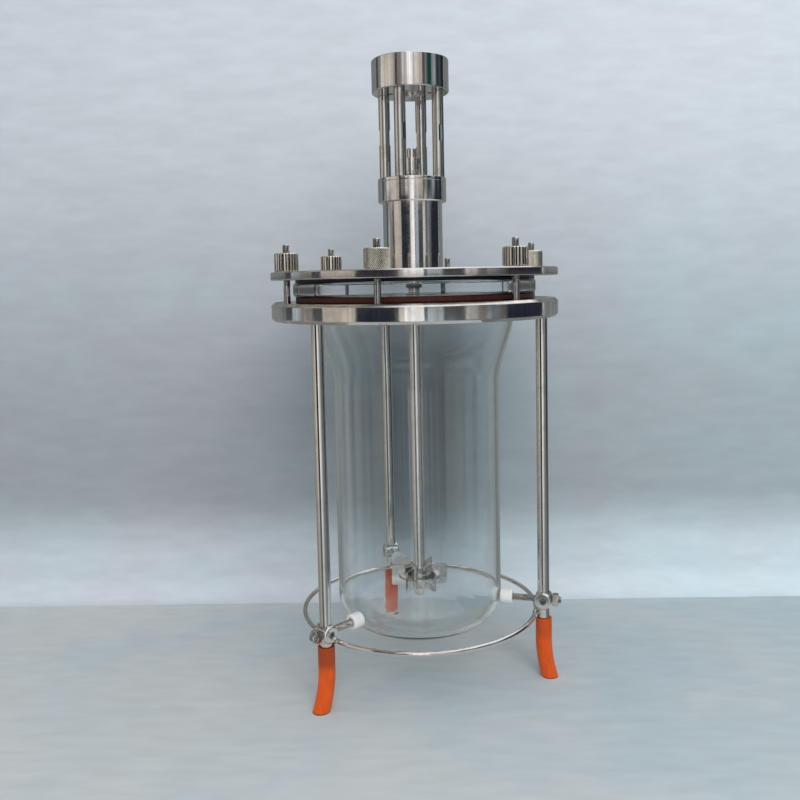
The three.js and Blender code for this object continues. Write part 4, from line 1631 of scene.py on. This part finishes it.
@dataclass(frozen=True)
class Panel:
    """One tall panel that stands round the bench, on a grid of 30 degrees.

    Attributes:
        middle: Direction of its middle, in degrees to the right of the camera's side.
        width: How much of the round it takes, in degrees.
        card: Its tone.
        bottom: Sine of the elevation at which it starts.
        top: Sine of the elevation at which it ends.
    """

    middle: float
    width: float
    card: Card
    bottom: float = -1.0
    top: float = 1.0


@dataclass
class Studio:
    """Floor, backdrop, surround, lamp and camera."""

    bench_near: float = 200.0
    far: float = 3000.0
    wall: float = 171.0
    wall_height: float = 2500.0
    cove: float = 25.0
    # Painted light and shade on the backdrop: its lit foot, its darker middle, its paler top and the painted
    # shadow behind the vessel.
    foot_level: float = 1.1
    dark_level: float = 0.65
    top_rise: float = 0.4
    vessel_shade: float = 0.50
    fill: Colour = (0.60, 0.63, 0.66)
    lamp_place: tuple[float, float, float] = (0.35, -1.6, 1.6)
    lamp_aim: tuple[float, float, float] = (0.0, 0.0, 0.25)
    lamp_size: float = 1.3
    lamp_power: float = 20.0
    eye: tuple[float, float, float] = (0.0, -0.7395, 0.3486)
    yaw: float = -1.04
    pitch: float = 4.40
    roll: float = -1.20
    lens: float = 37.57
    drop: float = -0.069
    streaks_round: float = 30.0
    warm_tones: tuple[Card, ...] = (Card.SKY, Card.BEIGE, Card.SLATE, Card.CREAM, Card.PALE)
    cool_tones: tuple[Card, ...] = (Card.INK, Card.SLATE, Card.SKY, Card.PALE, Card.BEIGE)
    panels: tuple[Panel, ...] = (
        Panel(-150, 60, Card.BENCH),
        Panel(150, 60, Card.BENCH),
        Panel(0, 45, Card.PALE, bottom=0.1),
        Panel(60, 15, Card.GREEN, bottom=0.1),
        Panel(-60, 30, Card.CREAM),
        Panel(-30, 30, Card.INK, top=0.1),
        Panel(90, 30, Card.INK, top=0.1),
        Panel(0, 15, Card.WHITE),
    )

    def build(self) -> None:
        """Make the floor, the backdrop, the surround, the lamp and the camera."""
        bpy.context.scene.view_settings.view_transform = "Standard"
        self.build_floor()
        self.build_backdrop()
        self.build_world()
        self.build_lamp()
        self.build_camera()

    def quads(self, name: str, cells: Sequence[tuple[float, float, float, float]]) -> bpy.types.Object:
        """Flat rectangles on the floor.

        Args:
            name: Name of the object.
            cells: Lowest x, highest x, lowest y and highest y of each.

        Returns:
            The object.
        """
        points, faces = [], []
        for left, right, front, back in cells:
            faces.append(tuple(range(len(points), len(points) + 4)))
            points += [(left, front, 0), (right, front, 0), (right, back, 0), (left, back, 0)]
        mesh = bpy.data.meshes.new(name)
        mesh.from_pydata([tuple(value * MM for value in point) for point in points], [], faces)
        ground = bpy.data.objects.new(name, mesh)
        bpy.context.scene.collection.objects.link(ground)
        return ground

    def build_floor(self) -> None:
        """Make the bench top in front of the backdrop and the floor behind it."""
        far, near, back = self.far, self.bench_near, self.wall - self.cove
        plain = self.paint("bench_top", (0.64, 0.655, 0.645), (0.53, 0.61, 0.64), False, False)
        beyond = self.paint("bench_beyond", (0.64, 0.655, 0.645), (0.53, 0.61, 0.64), False, True)
        self.quads("bench_near", [(-near, near, -near, back)]).data.materials.append(plain)
        around = [(-far, -near, -far, back), (near, far, -far, back), (-near, near, -far, -near)]
        self.quads("bench_around", around).data.materials.append(beyond)
        self.quads("bench_behind", [(-far, far, back, far)]).data.materials.append(beyond)

    def build_backdrop(self) -> None:
        """Make the coved backdrop, which is seen from its front only."""
        curve = [(self.wall - self.cove + self.cove * math.sin(math.pi / 2 * step / 8),
                  self.cove - self.cove * math.cos(math.pi / 2 * step / 8)) for step in range(9)]
        curve.append((self.wall, self.wall_height))
        points = [(side * self.far, depth, height) for depth, height in curve for side in (-1, 1)]
        faces = [(2 * row, 2 * row + 1, 2 * row + 3, 2 * row + 2) for row in range(len(curve) - 1)]
        mesh = bpy.data.meshes.new("backdrop")
        mesh.from_pydata([tuple(value * MM for value in point) for point in points], [], faces)
        mesh.shade_smooth()
        backdrop = bpy.data.objects.new("backdrop", mesh)
        bpy.context.scene.collection.objects.link(backdrop)
        paint = self.paint("backdrop_paint", (0.63, 0.65, 0.69), (0.62, 0.715, 0.75), True, True)
        backdrop.data.materials.append(paint)

    def paint(self, name: str, colour: Colour, second: Colour, upright: bool,
              unmirrored: bool) -> bpy.types.Material:
        """Brushed paint in two near colours, the second more to the right.

        Args:
            name: Name of the material.
            colour: First colour.
            second: Second colour.
            upright: Whether it is the backdrop's, which is uneven in height, carries painted light and shade,
                and is clear from behind.
            unmirrored: Whether polished metal shows the cards in its place.

        Returns:
            The material.
        """
        material = bpy.data.materials.new(name)
        material.use_nodes = True
        graph = Graph(material.node_tree)
        place = graph.place()
        brushed = graph.add("Mapping", {"Vector": place, "Scale": (0.3, 1.0, 1.0)}).outputs[0]
        clouds = graph.noise(place, 130.0, 3.0)
        strokes = graph.noise(brushed, 11.0, 4.0)
        parts = graph.parts(place)
        share = graph.sum("ADD", graph.spread(clouds, -0.25, 0.55, 0.35, 0.65),
                          graph.spread(parts.outputs[0], 0.0, 0.7, -0.35, 0.35))
        if upright:
            share = graph.sum("MULTIPLY", share, graph.spread(parts.outputs[2], 1.0, 0.2, 0.28, 0.46))
        tone = graph.mixed(share, colour, second)
        tone = graph.dulled(tone, graph.spread(strokes, 0.955, 1.045, 0.3, 0.7))
        unseen = graph.mirrored() if unmirrored else None
        if upright:
            # Painted light and shadow on the backdrop.
            tone = graph.dulled(tone, self.painted_wall_light(graph, parts.outputs[0], parts.outputs[2]))
            unseen = graph.sum("MAXIMUM", unseen, graph.add("NewGeometry").outputs["Backfacing"])
        shader = graph.add("BsdfDiffuse", {"Color": tone}).outputs[0]
        if unseen is not None:
            clear = graph.add("BsdfTransparent").outputs[0]
            shader = graph.add("MixShader", {0: unseen, 1: shader, 2: clear}).outputs[0]
        graph.add("OutputMaterial", {"Surface": shader})
        return material

    def painted_wall_light(self, graph: Graph, across: Value, height: Value) -> bpy.types.NodeSocket:
        """Painted light and shade on the backdrop: a lit band at its foot, paler towards the top and to the
        right, and a painted shadow behind the vessel.

        Args:
            graph: The backdrop's shader.
            across: Place from left to right.
            height: Height above the floor.

        Returns:
            A factor for its colour, which carries that painted light and shade.
        """
        # Painted light: a bright band at the backdrop's foot, and paler towards the top.
        lit_foot = graph.spread(height, self.foot_level, self.dark_level, 0.04, 0.12, True)
        level = graph.sum("ADD", lit_foot, graph.spread(height, 0.0, self.top_rise, 0.15, 0.60, True))
        # Painted shadow of the vessel on the backdrop, behind its middle.
        side = graph.spread(graph.sum("ABSOLUTE", across), 1.0, 0.0, 0.012, 0.10, True)
        under = graph.spread(height, 0.0, 1.0, -0.03, 0.10, True)
        over = graph.spread(height, 1.0, 0.0, 0.22, 0.36, True)
        shade = graph.sum("MULTIPLY", graph.sum("MULTIPLY", side, under), over)
        # Painted light, brighter to the right.
        level = graph.dulled(level, graph.spread(across, 0.98, 1.08, -0.35, 0.35))
        return graph.dulled(level, graph.spread(shade, 1.0, self.vessel_shade))

    def streaks(self, graph: Graph, azimuth: Value, seed: float) -> bpy.types.NodeSocket:
        """Upright streaks of uneven width in mixed tones, warm on the left and cool on the right.

        Args:
            graph: The world's shader.
            azimuth: Direction round the bench, from 0 to 1.
            seed: Start of the streaks, which sets their order.

        Returns:
            The colour there.
        """
        along = graph.sum("ADD", graph.sum("MULTIPLY", azimuth, self.streaks_round), seed)
        cell = graph.add("TexVoronoi", {"W": along, "Scale": 1.0}, voronoi_dimensions="1D")
        chance = graph.parts(cell.outputs["Color"]).outputs[0]
        warm, cool = (
            graph.ramp(chance, [(index / len(tones), tone.value) for index, tone in enumerate(tones)],
                       "CONSTANT")
            for tones in (self.warm_tones, self.cool_tones)
        )
        return graph.mixed(graph.spread(azimuth, 0.0, 1.0, 0.6, 0.75), warm, cool)

    def stand(self, graph: Graph, panel: Panel, azimuth: Value, rise: Value,
              behind: Value) -> bpy.types.NodeSocket:
        """Put one panel in front of what is there.

        Args:
            graph: The world's shader.
            panel: The panel.
            azimuth: Direction round the bench, from 0 to 1.
            rise: Sine of the elevation.
            behind: Colour of what it stands in front of.

        Returns:
            The colour with the panel.
        """
        aside = graph.sum("ABSOLUTE", graph.sum("SUBTRACT", azimuth, panel.middle / 360 + 0.5))
        share = graph.sum("LESS_THAN", aside, panel.width / 720)
        for test, edge in (("GREATER_THAN", panel.bottom), ("LESS_THAN", panel.top)):
            share = graph.sum("MULTIPLY", share, graph.sum(test, rise, edge))
        return graph.mixed(share, behind, panel.card.value)

    def build_world(self) -> None:
        """Make even fill light, and the cards that polished metal shows."""
        world = bpy.data.worlds.new("studio")
        bpy.context.scene.world = world
        world.use_nodes = True
        graph = Graph(world.node_tree)
        parts = graph.parts(graph.add("TexCoord").outputs["Generated"])
        x, y, z = parts.outputs[0], parts.outputs[1], parts.outputs[2]
        turned_by = graph.sum("ARCTAN2", x, graph.sum("MULTIPLY", y, -1.0))
        plain = graph.spread(turned_by, 0.0, 1.0, -math.pi, math.pi)
        along = graph.add("CombineXYZ", {0: plain, 2: graph.sum("MULTIPLY", z, 0.012)}).outputs[0]
        coarse = graph.noise(along, 9.0, 2.0)
        streaks = graph.noise(along, 4.0, 4.0)
        azimuth = graph.sum("ADD", plain, graph.spread(streaks, -0.008, 0.008, 0.25, 0.75))
        deep, low, high = (self.streaks(graph, azimuth, seed) for seed in (3.0, 40.0, 77.0))
        level = graph.mixed(graph.spread(z, 0.0, 1.0, -0.075, -0.055, True), deep, low)
        level = graph.mixed(graph.spread(z, 0.0, 1.0, 0.09, 0.10, True), level, high)
        for panel in self.panels:
            level = self.stand(graph, panel, azimuth, z, level)
        level = graph.mixed(graph.spread(z, 0.5, 0.0, -0.36, -0.16, True), level, Card.BENCH.value)
        ceiling = graph.ramp(graph.spread(x, 0.0, 1.0, -1.0, 1.0),
                             [(0.35, Card.BEIGE.value), (0.45, Card.WHITE.value)], "LINEAR")
        shelf = graph.sum("MULTIPLY", graph.spread(z, 0.0, 0.9, -0.026, -0.018),
                          graph.spread(z, 1.0, 0.0, 0.0, 0.008))
        patchy = graph.add("CombineXYZ", {0: plain, 2: graph.sum("MULTIPLY", z, 0.6)}).outputs[0]
        mottle = graph.noise(patchy, 5.0, 3.0)
        stock = graph.mixed(graph.spread(mottle, 0.0, 1.0, 0.4, 0.6), Card.BROWN.value, Card.SLATE.value)
        level = graph.mixed(shelf, level, stock)
        seen = graph.mixed(graph.spread(z, 0.0, 1.0, 0.45, 0.62, True), level, ceiling)
        uneven = graph.sum("MULTIPLY", graph.spread(streaks, 0.42, 1.45, 0.32, 0.68),
                           graph.spread(coarse, 0.8, 1.15, 0.35, 0.65))
        mirrored = graph.add("Background", {"Color": seen, "Strength": uneven}).outputs[0]
        even = graph.add("Background", {"Color": self.fill, "Strength": 1.0}).outputs[0]
        mixed = graph.add("MixShader", {0: graph.mirrored(), 1: even, 2: mirrored}).outputs[0]
        graph.add("OutputWorld", {"Surface": mixed})
        world.cycles.sampling_method = "NONE"

    def build_lamp(self) -> None:
        """Make one large soft lamp, high on the right."""
        data = bpy.data.lights.new("soft_lamp", "AREA")
        data.shape = "SQUARE"
        data.size = self.lamp_size
        data.energy = self.lamp_power
        lamp = bpy.data.objects.new("soft_lamp", data)
        bpy.context.scene.collection.objects.link(lamp)
        lamp.location = self.lamp_place
        aim = Vector(self.lamp_aim) - Vector(self.lamp_place)
        lamp.rotation_euler = aim.to_track_quat("-Z", "Y").to_euler()
        lamp.visible_glossy = False
        lamp.visible_transmission = False
        lamp.visible_camera = False

    def build_camera(self) -> None:
        """Make the camera."""
        yaw, pitch, roll = (math.radians(value) for value in (self.yaw, self.pitch, self.roll))
        ahead = Vector((math.sin(yaw) * math.cos(pitch), math.cos(yaw) * math.cos(pitch), -math.sin(pitch)))
        right = Vector((math.cos(yaw), -math.sin(yaw), 0.0))
        up = right.cross(ahead)
        side = right * math.cos(roll) + up * math.sin(roll)
        upright = up * math.cos(roll) - right * math.sin(roll)
        data = bpy.data.cameras.new("camera")
        data.lens = self.lens
        data.shift_y = self.drop
        camera = bpy.data.objects.new("camera", data)
        bpy.context.scene.collection.objects.link(camera)
        place = Matrix((side, upright, -ahead)).transposed().to_4x4()
        place.translation = Vector(self.eye)
        camera.matrix_world = place
        bpy.context.scene.camera = camera


def main() -> None:
    """Build the studio and every sub-assembly."""
    logging.basicConfig(level=logging.INFO, format="%(name)s: %(message)s")
    Studio().build()
    SupportRing().build()
    feet = ((1, 7.0, TUBE), (-1, 5.0, SOFT_TUBE), (1, 5.5, SOFT_TUBE))
    for number, (side, kick, tube) in enumerate(feet, 1):
        LegStation(number, side, kick, tube).build()
    Vessel().build()
    StudSet().build()
    Lantern().build()
    Stirrer().build()


if __name__ == "__main__":
    main()
